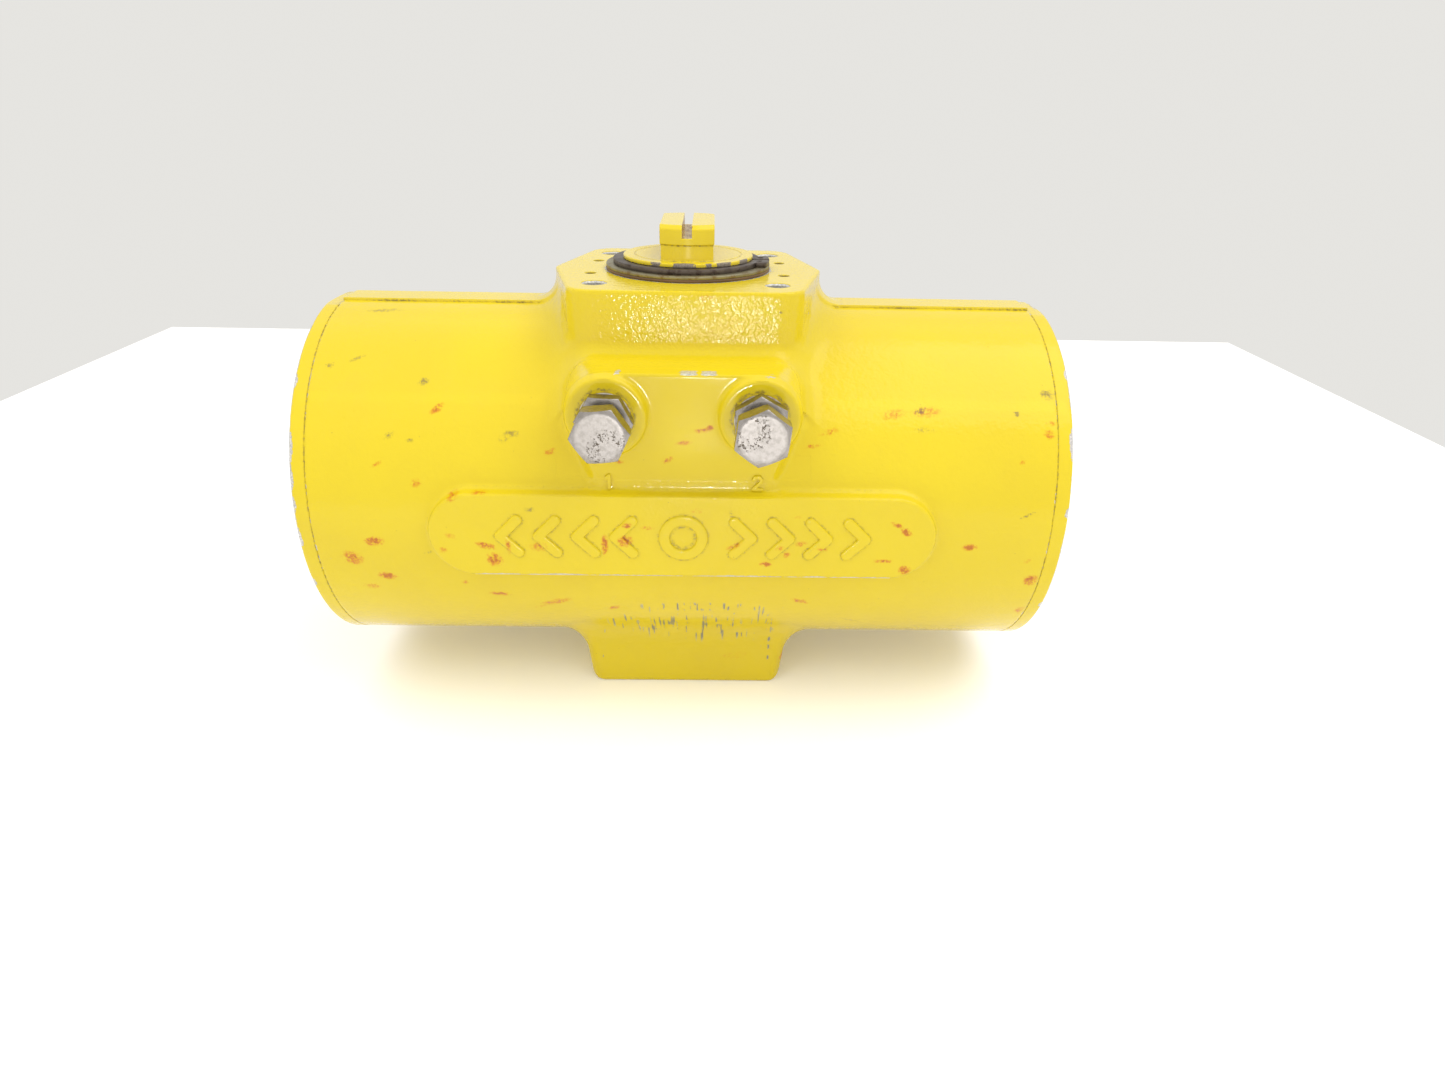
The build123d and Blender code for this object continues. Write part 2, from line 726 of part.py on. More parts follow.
hexagon_radius = hex_across_flats / sqrt(3)
bevel_base_radius = hex_across_flats / 2 * hex_face_ratio + bevel_depth / tan(radians(hex_bevel))
HEX_TURN = {"left": 7.0, "right": 24.0}  # degrees, the way the screws were left after setting
NUT_TURN = {"left": -4.0, "right": 27.0}

for name, side in SIDES.items():
    centre = (side * stop_spacing / 2, stop_height)

    with BuildPart() as screw:
        with BuildSketch(front_plane(-head_underside)):
            with Locations(centre):
                RegularPolygon(hexagon_radius, 6, rotation=HEX_TURN[name])
        extrude(amount=head_height)
        # conical bevel that rounds off the six corners of the head's outer face
        with BuildSketch(front_plane(-head_underside + head_height - bevel_depth)):
            with Locations(centre):
                Circle(bevel_base_radius)
        extrude(amount=bevel_depth, taper=90 - hex_bevel, mode=Mode.INTERSECT)
        with BuildSketch(front_plane(-head_underside)):
            with Locations(centre):
                Circle(screw_radius)
        extrude(amount=-screw_length)
        tip = screw.faces().sort_by(Axis.Y)[-1].edges()
        chamfer(tip, 1.2)
    save(screw.part, f"stop_screw_{name}")

    nut_inner_face = -boss_face + washer_thickness
    with BuildPart() as nut:
        with BuildSketch(front_plane(nut_inner_face)):
            with Locations(centre):
                RegularPolygon(hexagon_radius, 6, rotation=NUT_TURN[name])
        extrude(amount=nut_height)
        with BuildSketch(front_plane(nut_inner_face + nut_height - bevel_depth)):
            with Locations(centre):
                Circle(bevel_base_radius)
        extrude(amount=bevel_depth, taper=90 - hex_bevel, mode=Mode.INTERSECT)
        with BuildSketch(front_plane(nut_inner_face)):
            with Locations(centre):
                Circle(screw_radius + thread_clearance)
        extrude(amount=nut_height, mode=Mode.SUBTRACT)
    save(nut.part, f"lock_nut_{name}")

    with BuildPart() as washer:
        with BuildSketch(front_plane(-boss_face)):
            with Locations(centre):
                Circle(washer_radius)
                Circle(screw_radius + 0.3, mode=Mode.SUBTRACT)
        extrude(amount=washer_thickness)
    save(washer.part, f"stop_washer_{name}")

    with BuildPart() as seal:
        with BuildSketch(front_plane(-boss_face)):
            with Locations(centre):
                Circle(8.3)
                Circle(screw_radius + 0.05, mode=Mode.SUBTRACT)
        extrude(amount=-(stop_seal_recess - 0.2))
    save(seal.part, f"stop_seal_{name}")
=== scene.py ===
"""Visual model of a rack-and-pinion rotary actuator: painted cast housing, end caps, drive end, stop screws.

Lengths are in millimetres until a mesh is made, and heights are measured from the barrel's axis.
"""

import contextlib
import json
import math
import random

import bmesh
import bpy
import numpy as np
import openvdb
from mathutils import Matrix, Vector


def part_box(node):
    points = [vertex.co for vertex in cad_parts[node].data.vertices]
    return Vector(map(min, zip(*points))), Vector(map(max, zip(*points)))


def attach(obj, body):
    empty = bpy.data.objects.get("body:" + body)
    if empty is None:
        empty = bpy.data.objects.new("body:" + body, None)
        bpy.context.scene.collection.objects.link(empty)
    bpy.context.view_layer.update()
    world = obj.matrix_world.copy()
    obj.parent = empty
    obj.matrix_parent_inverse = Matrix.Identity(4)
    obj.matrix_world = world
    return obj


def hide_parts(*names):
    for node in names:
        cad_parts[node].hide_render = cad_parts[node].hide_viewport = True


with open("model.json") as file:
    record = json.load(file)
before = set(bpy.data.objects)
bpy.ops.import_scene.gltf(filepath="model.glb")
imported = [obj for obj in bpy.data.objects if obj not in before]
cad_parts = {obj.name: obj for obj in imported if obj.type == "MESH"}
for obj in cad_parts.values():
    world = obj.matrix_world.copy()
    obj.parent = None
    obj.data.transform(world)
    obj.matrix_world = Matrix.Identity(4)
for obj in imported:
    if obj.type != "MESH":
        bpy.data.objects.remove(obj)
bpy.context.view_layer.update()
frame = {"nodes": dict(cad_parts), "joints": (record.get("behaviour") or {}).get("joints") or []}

MM = 0.001
WELD = 1e-6
CAD_WELD = 2e-6
PIVOT = next(j for j in frame["joints"] if j["name"] == "pinion_turn")["pos_m"]
AXIS = PIVOT[2] / MM


def box_mm(node):
    """A CAD node's box in millimetres, heights from the barrel's axis."""
    low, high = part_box(node)
    shift = Vector((0, 0, AXIS))
    return low / MM - shift, high / MM - shift


def to_metres(points):
    """Points in millimetres about the barrel's axis, as points in the row frame."""
    moved = np.asarray(points, float).reshape(-1, 3) * MM
    moved[:, 2] += AXIS * MM
    return moved


SIDES = {"left": -1, "right": 1}
HOUSING_LOW, HOUSING_HIGH = box_mm("housing")
CAP_LOW, CAP_HIGH = box_mm("end_cap_right")
PINION_HIGH = box_mm("pinion")[1]
SCREW = {name: box_mm(f"stop_screw_{name}") for name in SIDES}
NUT = {name: box_mm(f"lock_nut_{name}") for name in SIDES}

BARREL_R = (CAP_HIGH.y - CAP_LOW.y) / 2
BORE_R = 69.0
BARREL_END = HOUSING_HIGH.x
PAD_TOP = HOUSING_HIGH.z
FOOT_BOTTOM = HOUSING_LOW.z
NECK_HALF_WIDTH = 57.0
NECK_HALF_DEPTH = 51.0
NECK_TAPER = 12.5
FOOT_HALF_DEPTH = 46.0
RAIL_TOP = 77.9
RAIL_HALF = 8.0
STOP_X = (SCREW["right"][0].x + SCREW["right"][1].x) / 2
STOP_Z = (SCREW["right"][0].z + SCREW["right"][1].z) / 2
BLOCK_R = 16.0
BLOCK_FACE = 77.0
BOSS_FACE = -NUT["right"][1].y - 1.1
PANEL_FACE = 80.2
PANEL_MID = 1.5
RELIEF = -HOUSING_LOW.y
VALVE_FACE = HOUSING_HIGH.y
VALVE_HALF = (28.0, 23.0)
FLANGE_BOLT = 36.06
ACCESSORY_BOLT = (40.0, 15.0)
VALVE_BOLT = (16.0, 12.0)
PORT_X = 12.0
PISTON_BORE_HALF = 300.0
DISC_R = 27.5
DISC_TOP = 97.1
DRIVE_R = 22.5
DRIVE_HALF_FLATS = 11.1
UNDERCUT = 103.2
GROOVE_TOP = 95.55
DRIVE_FOOT = 88.0
SLOT_DEPTH = 5.0
HEX_R = 9.5
HEX_SEGMENTS = 72


# ------------------------------------------------------------ distance fields


def round_and(a, b, r):
    """Intersection of two solids with a convex edge of radius r."""
    return np.minimum(-r, np.maximum(a, b)) + np.hypot(np.maximum(a + r, 0), np.maximum(b + r, 0))


def round_or(a, b, r):
    """Union of two solids with a concave fillet of radius r."""
    return np.maximum(r, np.minimum(a, b)) - np.hypot(np.maximum(r - a, 0), np.maximum(r - b, 0))


def stroke(u, v, a, b):
    """Distance in a plane from a straight stroke a-b, and how far along it the nearest place lies, 0 to 1."""
    (ax, ay), (bx, by) = a, b
    length = (bx - ax) ** 2 + (by - ay) ** 2
    t = np.clip(((u - ax) * (bx - ax) + (v - ay) * (by - ay)) / length, 0, 1)
    return np.hypot(u - ax - t * (bx - ax), v - ay - t * (by - ay)), t


def strokes(u, v, pairs):
    """Distance in a plane from the nearest of several strokes."""
    return np.minimum.reduce([stroke(u, v, a, b)[0] for a, b in pairs])


def barrel_field(x, y, z):
    rail = round_and(np.abs(y) - RAIL_HALF, z - RAIL_TOP, 0.35)
    return np.minimum(np.hypot(y, z) - BARREL_R, np.maximum(rail, 40.0 - z))


def neck_walls(x, y, z):
    deep = np.sqrt(y * y + 2.0)
    slant = math.hypot(NECK_HALF_DEPTH, NECK_TAPER)
    wide = ((np.abs(x) - NECK_HALF_WIDTH) * NECK_HALF_DEPTH + deep * NECK_TAPER) / slant
    return round_and(np.abs(y) - NECK_HALF_DEPTH, wide, 8.0)


def neck_field(x, y, z):
    return np.maximum(round_and(neck_walls(x, y, z), z - PAD_TOP, 0.9), 20.0 - z)


def block_outline(x, z, corner=BLOCK_R):
    top = STOP_Z + BLOCK_R
    # each arm narrows from the screw's boss down to a radius of 6 beside the panel
    distance, along = stroke(np.abs(x), z, (STOP_X, STOP_Z), (30.0, 24.0))
    arms = distance - (BLOCK_R + (6.0 - BLOCK_R) * along)
    shoulders = np.maximum(round_and(np.abs(x) - STOP_X - BLOCK_R, z - top, corner), STOP_Z - z)
    middle = np.maximum(np.abs(x) - STOP_X, np.maximum(z - top, 18.0 - z))
    return np.minimum(np.minimum(arms, shoulders), middle)


def block_front(y, z):
    """The block's front face: upright by the screws, leaning back into the barrel below them."""
    lean = math.atan2(4.8, 32.0)
    upright = -y - BLOCK_FACE
    leaning = (-y - BLOCK_FACE) * math.cos(lean) + (34.0 - z) * math.sin(lean)
    return round_and(upright, leaning, 0.4)


def block_field(x, y, z):
    corner = 10.0 + (BLOCK_R - 10.0) * np.clip((-y - 60.0) / (BLOCK_FACE - 60.0), 0, 1)
    edge = 0.8 + 2.6 * np.clip((58.0 - z) / 12.0, 0, 1)
    return np.maximum(round_and(block_outline(x, z, corner), block_front(y, z), edge), y + 40.0)


def boss_field(x, y, z):
    radius = np.hypot(np.abs(x) - STOP_X, z - STOP_Z)
    slope = math.atan2(1.2, 2.9)
    cone = (radius - 16.0) * math.cos(slope) + np.maximum(-y - BLOCK_FACE, 0) * math.sin(slope)
    return round_and(np.maximum(cone, y + BLOCK_FACE - 1.5), -y - BOSS_FACE, 0.5)


def panel_outline(x, z):
    return stroke(x, z, (-82.5, PANEL_MID), (82.5, PANEL_MID))[0] - 17.5


def panel_field(x, y, z):
    draft = math.radians(9)
    walls = panel_outline(x, z) * math.cos(draft) + (-y - PANEL_FACE) * math.sin(draft)
    return round_and(np.maximum(walls, y + 60.0), -y - PANEL_FACE, 0.7)


def foot_field(x, y, z):
    """The foot below the axis: drafted sides, rounded lower edges and rounded upright corners."""
    draft = math.radians(7)
    sides = (np.abs(x) - 44.0) * math.cos(draft) - (z - FOOT_BOTTOM) * math.sin(draft)
    depth = np.abs(y) - FOOT_HALF_DEPTH
    section = np.maximum(round_and(sides, FOOT_BOTTOM - z, 6.0), z)
    corners = np.maximum(round_and(sides, depth, 5.0), z)
    return np.maximum(round_and(section, depth, 1.2), corners)


def valve_outline(x, z):
    return round_and(np.abs(x) - VALVE_HALF[0], np.abs(z) - VALVE_HALF[1], 6.0)


def valve_pad_field(x, y, z):
    return round_and(np.maximum(valve_outline(x, z), 60.0 - y), y - VALVE_FACE, 0.6)


def housing_field(x, y, z):
    d = barrel_field(x, y, z)
    d = round_or(d, neck_field(x, y, z), 10.0)
    blend = 3.5 + 6.0 * np.clip((z - 26.0) / 16.0, 0, 1) - 4.0 * np.clip((z - 56.0) / 9.0, 0, 1)
    d = round_or(d, block_field(x, y, z), blend)
    d = round_or(d, boss_field(x, y, z), 0.6)
    d = round_or(d, foot_field(x, y, z), 10.0)
    d = round_or(d, panel_field(x, y, z), 1.8)
    d = round_or(d, valve_pad_field(x, y, z), 2.5)
    return round_and(d, np.abs(x) - BARREL_END, 0.3)


CHEVRONS = [((heel, side * 7.0), (heel + 7.0, 0.0)) for heel in (20.0, 35.0, 50.0, 65.0) for side in (1, -1)]


def relief_outline(x, z):
    """The panel's plain relief: a ring between two runs of chevrons."""
    u, v = np.abs(x), z - PANEL_MID
    return np.minimum(np.abs(np.hypot(u, v) - 7.5), strokes(u, v, CHEVRONS)) - 1.9


def relief_field(x, y, z):
    walls = relief_outline(x, z) * 0.9 + (-y - RELIEF) * 0.35
    return round_and(np.maximum(walls, y + PANEL_FACE - 0.9), -y - RELIEF, 0.45)


def drive_field(x, y, z):
    """The pinion's visible end: a disc, and a boss with two flats, an undercut and a slot."""
    radius = np.hypot(x, y)
    disc = round_and(radius - DISC_R, z - DISC_TOP, 0.5)
    groove = np.maximum(np.maximum(93.4 - z, z - GROOVE_TOP), DISC_R - 1.5 - radius)
    ledge_line = np.maximum(np.maximum(radius - 22.9, 22.3 - radius), 96.95 - z)
    disc = np.maximum(np.maximum(disc, -ledge_line), -groove)

    chamfer = (radius - DRIVE_R + z - PINION_HIGH.z + 1.5) * math.sqrt(0.5)
    inset = np.where(z < UNDERCUT, 0.4, 0.0)
    boss = round_and(radius - DRIVE_R + inset, np.abs(x) - DRIVE_HALF_FLATS + inset, 0.35)
    boss = round_and(boss, z - PINION_HIGH.z, 0.35)
    boss = round_and(boss, chamfer, 0.3)
    line = np.hypot(np.maximum(np.abs(x) - DRIVE_HALF_FLATS, radius - DRIVE_R), z - UNDERCUT) - 0.35
    slot = np.maximum(np.abs(x) - 2.0, PINION_HIGH.z - SLOT_DEPTH - z)
    boss = np.maximum(np.maximum(boss, -line), -slot)
    return np.maximum(round_or(disc, boss, 0.5), DRIVE_FOOT - z)


def mesh_from_field(field, low, high, step, slab=48):
    """Vertices and faces of a field's surface, sampled on a grid and then moved onto the exact surface."""
    low = np.floor(np.array(low, float) / step).astype(int) - 3
    high = np.ceil(np.array(high, float) / step).astype(int) + 3
    grid = openvdb.FloatGrid(3 * step)
    ys = (np.arange(low[1], high[1] + 1) * step).astype(np.float32)
    zs = (np.arange(low[2], high[2] + 1) * step).astype(np.float32)
    for start in range(low[0], high[0] + 1, slab):
        xs = (np.arange(start, min(start + slab, high[0] + 1)) * step).astype(np.float32)
        x, y, z = np.meshgrid(xs, ys, zs, indexing="ij")
        values = np.clip(field(x, y, z), -3 * step, 3 * step).astype(np.float32)
        grid.copyFromArray(values, ijk=(int(start), int(low[1]), int(low[2])))
    points, quads = grid.convertToQuads(0.0)
    points = np.asarray(points, float) * step
    for _ in range(3):
        points = onto_surface(field, points, step)
    return points, np.asarray(quads)


def gradient(field, points, e):
    """A field's slope at points, from its values a distance e to either side."""
    changes = [field(*(points + d).T) - field(*(points - d).T) for d in np.eye(3) * e]
    return np.stack(changes, axis=-1) / (2 * e)


def onto_surface(field, points, limit):
    """One Newton step that moves points to a field's surface, by at most half of limit."""
    slope = gradient(field, points, 0.02)
    steepness = np.maximum((slope**2).sum(1), 0.25)
    move = slope * (field(*points.T) / steepness)[:, None]
    length = np.linalg.norm(move, axis=1)
    return points - move * np.minimum(1, 0.5 * limit / np.maximum(length, 1e-9))[:, None]


# ------------------------------------------------------------ materials


class Shader:
    """Builds one procedural material. A value may be a number, a tuple or another node's socket."""

    def __init__(self, name):
        self.material = bpy.data.materials.new(name)
        self.material.use_nodes = True
        self.nodes = self.material.node_tree.nodes
        self.links = self.material.node_tree.links
        self.nodes.clear()
        self.output = self.nodes.new("ShaderNodeOutputMaterial")
        self.surface = self.nodes.new("ShaderNodeBsdfPrincipled")
        self.links.new(self.surface.outputs[0], self.output.inputs[0])
        self.place = self.nodes.new("ShaderNodeTexCoord").outputs["Object"]

    def feed(self, socket, value):
        if isinstance(value, bpy.types.NodeSocket):
            self.links.new(value, socket)
        elif value is not None:
            socket.default_value = value

    def math(self, operation, a, b=None, clamp=False):
        node = self.nodes.new("ShaderNodeMath")
        node.operation, node.use_clamp = operation, clamp
        self.feed(node.inputs[0], a)
        self.feed(node.inputs[1], b)
        return node.outputs[0]

    def add(self, *values):
        total = values[0]
        for value in values[1:]:
            total = self.math("ADD", total, value)
        return total

    def times(self, a, b):
        return self.math("MULTIPLY", a, b)

    def swing(self, value, size):
        """A noise's swing about its mean, scaled."""
        return self.times(self.math("SUBTRACT", value, 0.5), size)

    def most(self, *values):
        top = values[0]
        for value in values[1:]:
            top = self.math("MAXIMUM", top, value)
        return top

    def step(self, value, low, high, to=(0.0, 1.0)):
        node = self.nodes.new("ShaderNodeMapRange")
        node.interpolation_type = "SMOOTHSTEP"
        for socket, number in zip(node.inputs, (value, low, high, *to)):
            self.feed(socket, number)
        return node.outputs[0]

    def noise(self, scale, detail=2.0, rough=0.5, stretch=None, where=None):
        """Noise with features about 1/scale metres across, roughly 0.3 to 0.7."""
        node = self.nodes.new("ShaderNodeTexNoise")
        node.inputs["Scale"].default_value = scale
        node.inputs["Detail"].default_value = detail
        node.inputs["Roughness"].default_value = rough
        where = where or self.place
        if stretch:
            mapping = self.nodes.new("ShaderNodeMapping")
            mapping.inputs["Scale"].default_value = stretch
            self.links.new(where, mapping.inputs[0])
            where = mapping.outputs[0]
        self.links.new(where, node.inputs["Vector"])
        return node.outputs["Fac"]

    def specks(self, scale, size):
        """Small round dots, 1 inside."""
        node = self.nodes.new("ShaderNodeTexVoronoi")
        node.inputs["Scale"].default_value = scale
        self.links.new(self.place, node.inputs["Vector"])
        return self.step(node.outputs["Distance"], size, size * 0.6)

    def mix(self, factor, a, b):
        node = self.nodes.new("ShaderNodeMix")
        node.data_type = "RGBA"
        self.feed(node.inputs[0], factor)
        for socket, value in ((node.inputs[6], a), (node.inputs[7], b)):
            self.feed(socket, (*value, 1.0) if isinstance(value, tuple) else value)
        return node.outputs[2]

    def field(self, name, output="Fac"):
        """What a mesh stores at its points under a name."""
        node = self.nodes.new("ShaderNodeAttribute")
        node.attribute_name = name
        return node.outputs[output]

    def bump(self, height, depth, normal=None):
        node = self.nodes.new("ShaderNodeBump")
        node.inputs["Distance"].default_value = depth
        self.feed(node.inputs["Height"], height)
        self.feed(node.inputs["Normal"], normal)
        return node.outputs[0]

    def finish(self, color, roughness, metallic=0.0, normal=None, **fixed):
        sockets = self.surface.inputs
        self.feed(sockets["Base Color"], (*color, 1.0) if isinstance(color, tuple) else color)
        self.feed(sockets["Roughness"], roughness)
        self.feed(sockets["Metallic"], metallic)
        self.feed(sockets["Normal"], normal)
        self.feed(sockets["Coat Normal"], normal)
        for name, value in fixed.items():
            sockets[name.replace("_", " ")].default_value = value
        return self.material


def darker(color, share):
    return tuple(share * c for c in color)


YELLOW = (0.645, 0.50, 0.011)
RUST = (0.38, 0.062, 0.002)
ORANGE = (0.56, 0.185, 0.004)
# dark colour for real grime and also for painted shade around raised parts and nuts
GRIME_AND_SHADE = (0.13, 0.085, 0.035)
BARE = (0.62, 0.61, 0.57)
SCRATCHED = (0.23, 0.215, 0.16)
PIT_AND_SHADE = (0.10, 0.075, 0.05)


def painted(name, base_metal=BARE, gloss=0.11, worn=1.0, texture=1.0):
    """Thick gloss paint over metal: chips to bare metal, rust-coloured stains, grime in the creases, and
    painted shade where a mesh stores it.
    """
    s = Shader(name)
    slow, fine, crumb = s.noise(14, 3), s.noise(620, 3, 0.6), s.noise(1500, 4, 0.65)
    patch = s.noise(60, 4, 0.6)
    color = s.mix(s.step(slow, 0.35, 0.7), YELLOW, (0.62, 0.475, 0.013))
    color = s.mix(s.times(s.step(patch, 0.52, 0.75), 0.10), color, (0.54, 0.38, 0.022))

    ragged = s.add(s.swing(fine, 1.3), s.swing(crumb, 1.1))
    stain = s.times(s.field("rust"), s.add(0.90, s.times(ragged, 2.4)))
    stain_color = s.mix(s.step(stain, 0.48, 0.90), ORANGE, RUST)
    color = s.mix(s.times(s.step(stain, 0.12, 0.65), 0.85), color, stain_color)
    inside = s.step(stain, 0.3, 0.8)

    # real grime marks and painted shade, from one stored attribute, both darken the paint towards the grime
    # colour
    dirt_and_shade = s.times(s.field("dirt_and_shade"), s.add(0.80, s.times(ragged, 2.4)))
    dirt_and_shade = s.step(dirt_and_shade, 0.15, 0.85)
    pepper = s.times(s.specks(210, 0.045), s.step(s.noise(38, 2), 0.50, 0.62))
    color = s.mix(s.times(s.most(dirt_and_shade, s.times(pepper, 0.8)), 0.72), color, GRIME_AND_SHADE)

    chipped = s.add(s.field("bare"), s.times(ragged, 0.75))
    chip = s.times(s.step(chipped, 0.52, 0.60), s.step(s.field("bare"), 0.03, 0.10))
    edge = s.add(s.times(s.field("edge"), 0.62 * worn), s.times(ragged, 0.35), s.swing(s.noise(90, 3), 0.85))
    edge = s.times(s.step(edge, 0.66, 0.72), s.step(s.field("edge"), 0.35, 0.6))
    combed = s.noise(820, 1, 0.5, stretch=(1, 0.06, 0.05))
    combed = s.add(combed, s.swing(s.noise(160, 3), 0.45))
    scratch = s.times(s.step(combed, 0.61, 0.64), s.step(s.field("scratch"), 0.2, 0.8))
    chip = s.most(chip, edge, scratch)
    metal = s.mix(s.step(crumb, 0.4, 0.62), base_metal, darker(base_metal, 0.6))
    metal = s.mix(scratch, metal, SCRATCHED)
    color = s.mix(chip, color, metal)

    rough = s.add(gloss, s.times(s.step(patch, 0.4, 0.7), 0.08), s.times(s.most(dirt_and_shade, inside), 0.25))
    rough = s.add(rough, s.times(chip, 0.22))
    height = s.add(s.times(s.noise(820, 2, 0.45), 0.55), s.times(s.noise(380, 1), 0.75))
    height = s.times(height, s.add(1.0, s.times(s.field("peel"), 1.3)))
    normal = s.bump(s.add(height, s.times(chip, -0.3)), 0.00016 * texture)
    coat = {"Coat_Weight": 0.20, "Coat_Roughness": 0.04, "IOR": 1.36}
    return s.finish(color, rough, s.times(chip, 0.35), normal, **coat)


def steel(name, color, rough, depth=0.00002, stain=None, grain=(1, 1, 1)):
    """Machined or forged steel with fine grain and dull patches."""
    s = Shader(name)
    brush, patch = s.noise(900, 4, 0.6, stretch=grain), s.noise(160, 4, 0.6)
    tone = s.mix(s.step(patch, 0.35, 0.7), color, darker(color, 0.78))
    if stain:
        tone = s.mix(s.times(s.step(s.noise(240, 4, 0.65), 0.5, 0.66), 0.85), tone, stain)
    roughness = s.add(rough, s.times(s.step(patch, 0.35, 0.75), 0.14), s.times(brush, 0.06))
    return s.finish(tone, roughness, 1.0, s.bump(brush, depth))


def stainless_head(name):
    """Bright fastener steel whose end face is pitted and stamped-looking, without any lettering."""
    s = Shader(name)
    where = s.field("local", "Vector")
    split = s.nodes.new("ShaderNodeSeparateXYZ")
    s.links.new(where, split.inputs[0])
    u, v, w = split.outputs
    reach = s.math("SQRT", s.add(s.times(u, u), s.times(v, v)))
    face = s.step(w, -0.35, -0.1)
    band = s.times(s.step(reach, 2.6, 4.0), s.step(reach, 8.4, 6.9))
    blotch = s.add(s.noise(0.62, 2, 0.5, where=where), s.swing(s.noise(2.4, 3, 0.6, where=where), 0.9))
    pits = s.times(s.times(s.step(blotch, 0.59, 0.65), band), face)
    scuff = s.noise(2.2, 4, 0.6, stretch=(1, 0.25, 1), where=where)
    color = s.mix(s.step(s.noise(0.5, 3, where=where), 0.4, 0.65), (0.35, 0.325, 0.305), (0.29, 0.27, 0.25))
    color = s.mix(s.times(pits, 0.88), color, PIT_AND_SHADE)
    # painted shade at the back of each nut, in the same dark colour as the pits
    color = s.mix(s.times(s.field("dirt_and_shade"), 0.8), color, PIT_AND_SHADE)
    rough = s.add(0.20, s.times(face, 0.16), s.times(scuff, 0.10), s.times(pits, 0.3))
    normal = s.bump(s.add(s.times(scuff, 0.25), s.times(pits, -1.6)), 0.00012)
    return s.finish(color, rough, s.math("SUBTRACT", 1.0, s.times(pits, 0.6)), normal)


def plastic(name, color, rough):
    """Moulded plastic or rubber with a faint grain."""
    s = Shader(name)
    grain = s.noise(700, 3, 0.6)
    tone = s.mix(s.step(s.noise(55, 3), 0.35, 0.7), color, darker(color, 0.72))
    return s.finish(tone, s.add(rough, s.times(grain, 0.15)), 0.0, s.bump(grain, 0.00002))


def cast_aluminium(name):
    """Die-cast skin, with turning marks along the barrel's axis."""
    s = Shader(name)
    skin, turned = s.noise(260, 4, 0.6), s.noise(500, 2, stretch=(6, 0.3, 0.3))
    tone = s.mix(s.step(s.noise(30, 3), 0.35, 0.7), (0.62, 0.63, 0.64), (0.48, 0.49, 0.50))
    return s.finish(tone, s.add(0.30, s.times(skin, 0.2)), 1.0, s.bump(s.add(skin, turned), 0.00003))


paint = painted("yellow_gloss_paint")
cap_paint = painted("yellow_gloss_paint_caps", (0.62, 0.60, 0.58), worn=1.25)
drive_paint = painted("yellow_paint_on_steel", (0.27, 0.23, 0.18), gloss=0.16, worn=1.25, texture=0.12)
stainless = stainless_head("stainless_fastener")
washer_bright = steel("stainless_washer", (0.60, 0.57, 0.52), 0.30, stain=(0.30, 0.22, 0.14))
dark_steel = steel("phosphated_spring_steel", (0.150, 0.125, 0.110), 0.34, stain=(0.07, 0.05, 0.045))
olive_steel = steel("dull_washer_steel", (0.33, 0.30, 0.19), 0.34, stain=(0.20, 0.13, 0.06))
spring_steel = steel("spring_steel", (0.42, 0.42, 0.43), 0.30)
brown_plastic = plastic("brown_acetal", (0.16, 0.085, 0.030), 0.42)
black_plastic = plastic("black_low_friction_plastic", (0.035, 0.035, 0.038), 0.40)
rubber = plastic("nitrile_rubber", (0.022, 0.022, 0.024), 0.55)
aluminium = cast_aluminium("die_cast_aluminium")


# ------------------------------------------------------------ surface marks


def scattered(seed, count, xs, heights, lengths, widths, tilts, strengths):
    """Small marks strewn over a surface, the same on every run; each pair is a range."""
    draw = random.Random(seed)
    spans = (xs, heights, lengths, widths, tilts, strengths)
    return tuple(tuple(draw.uniform(*span) for span in spans) for _ in range(count))


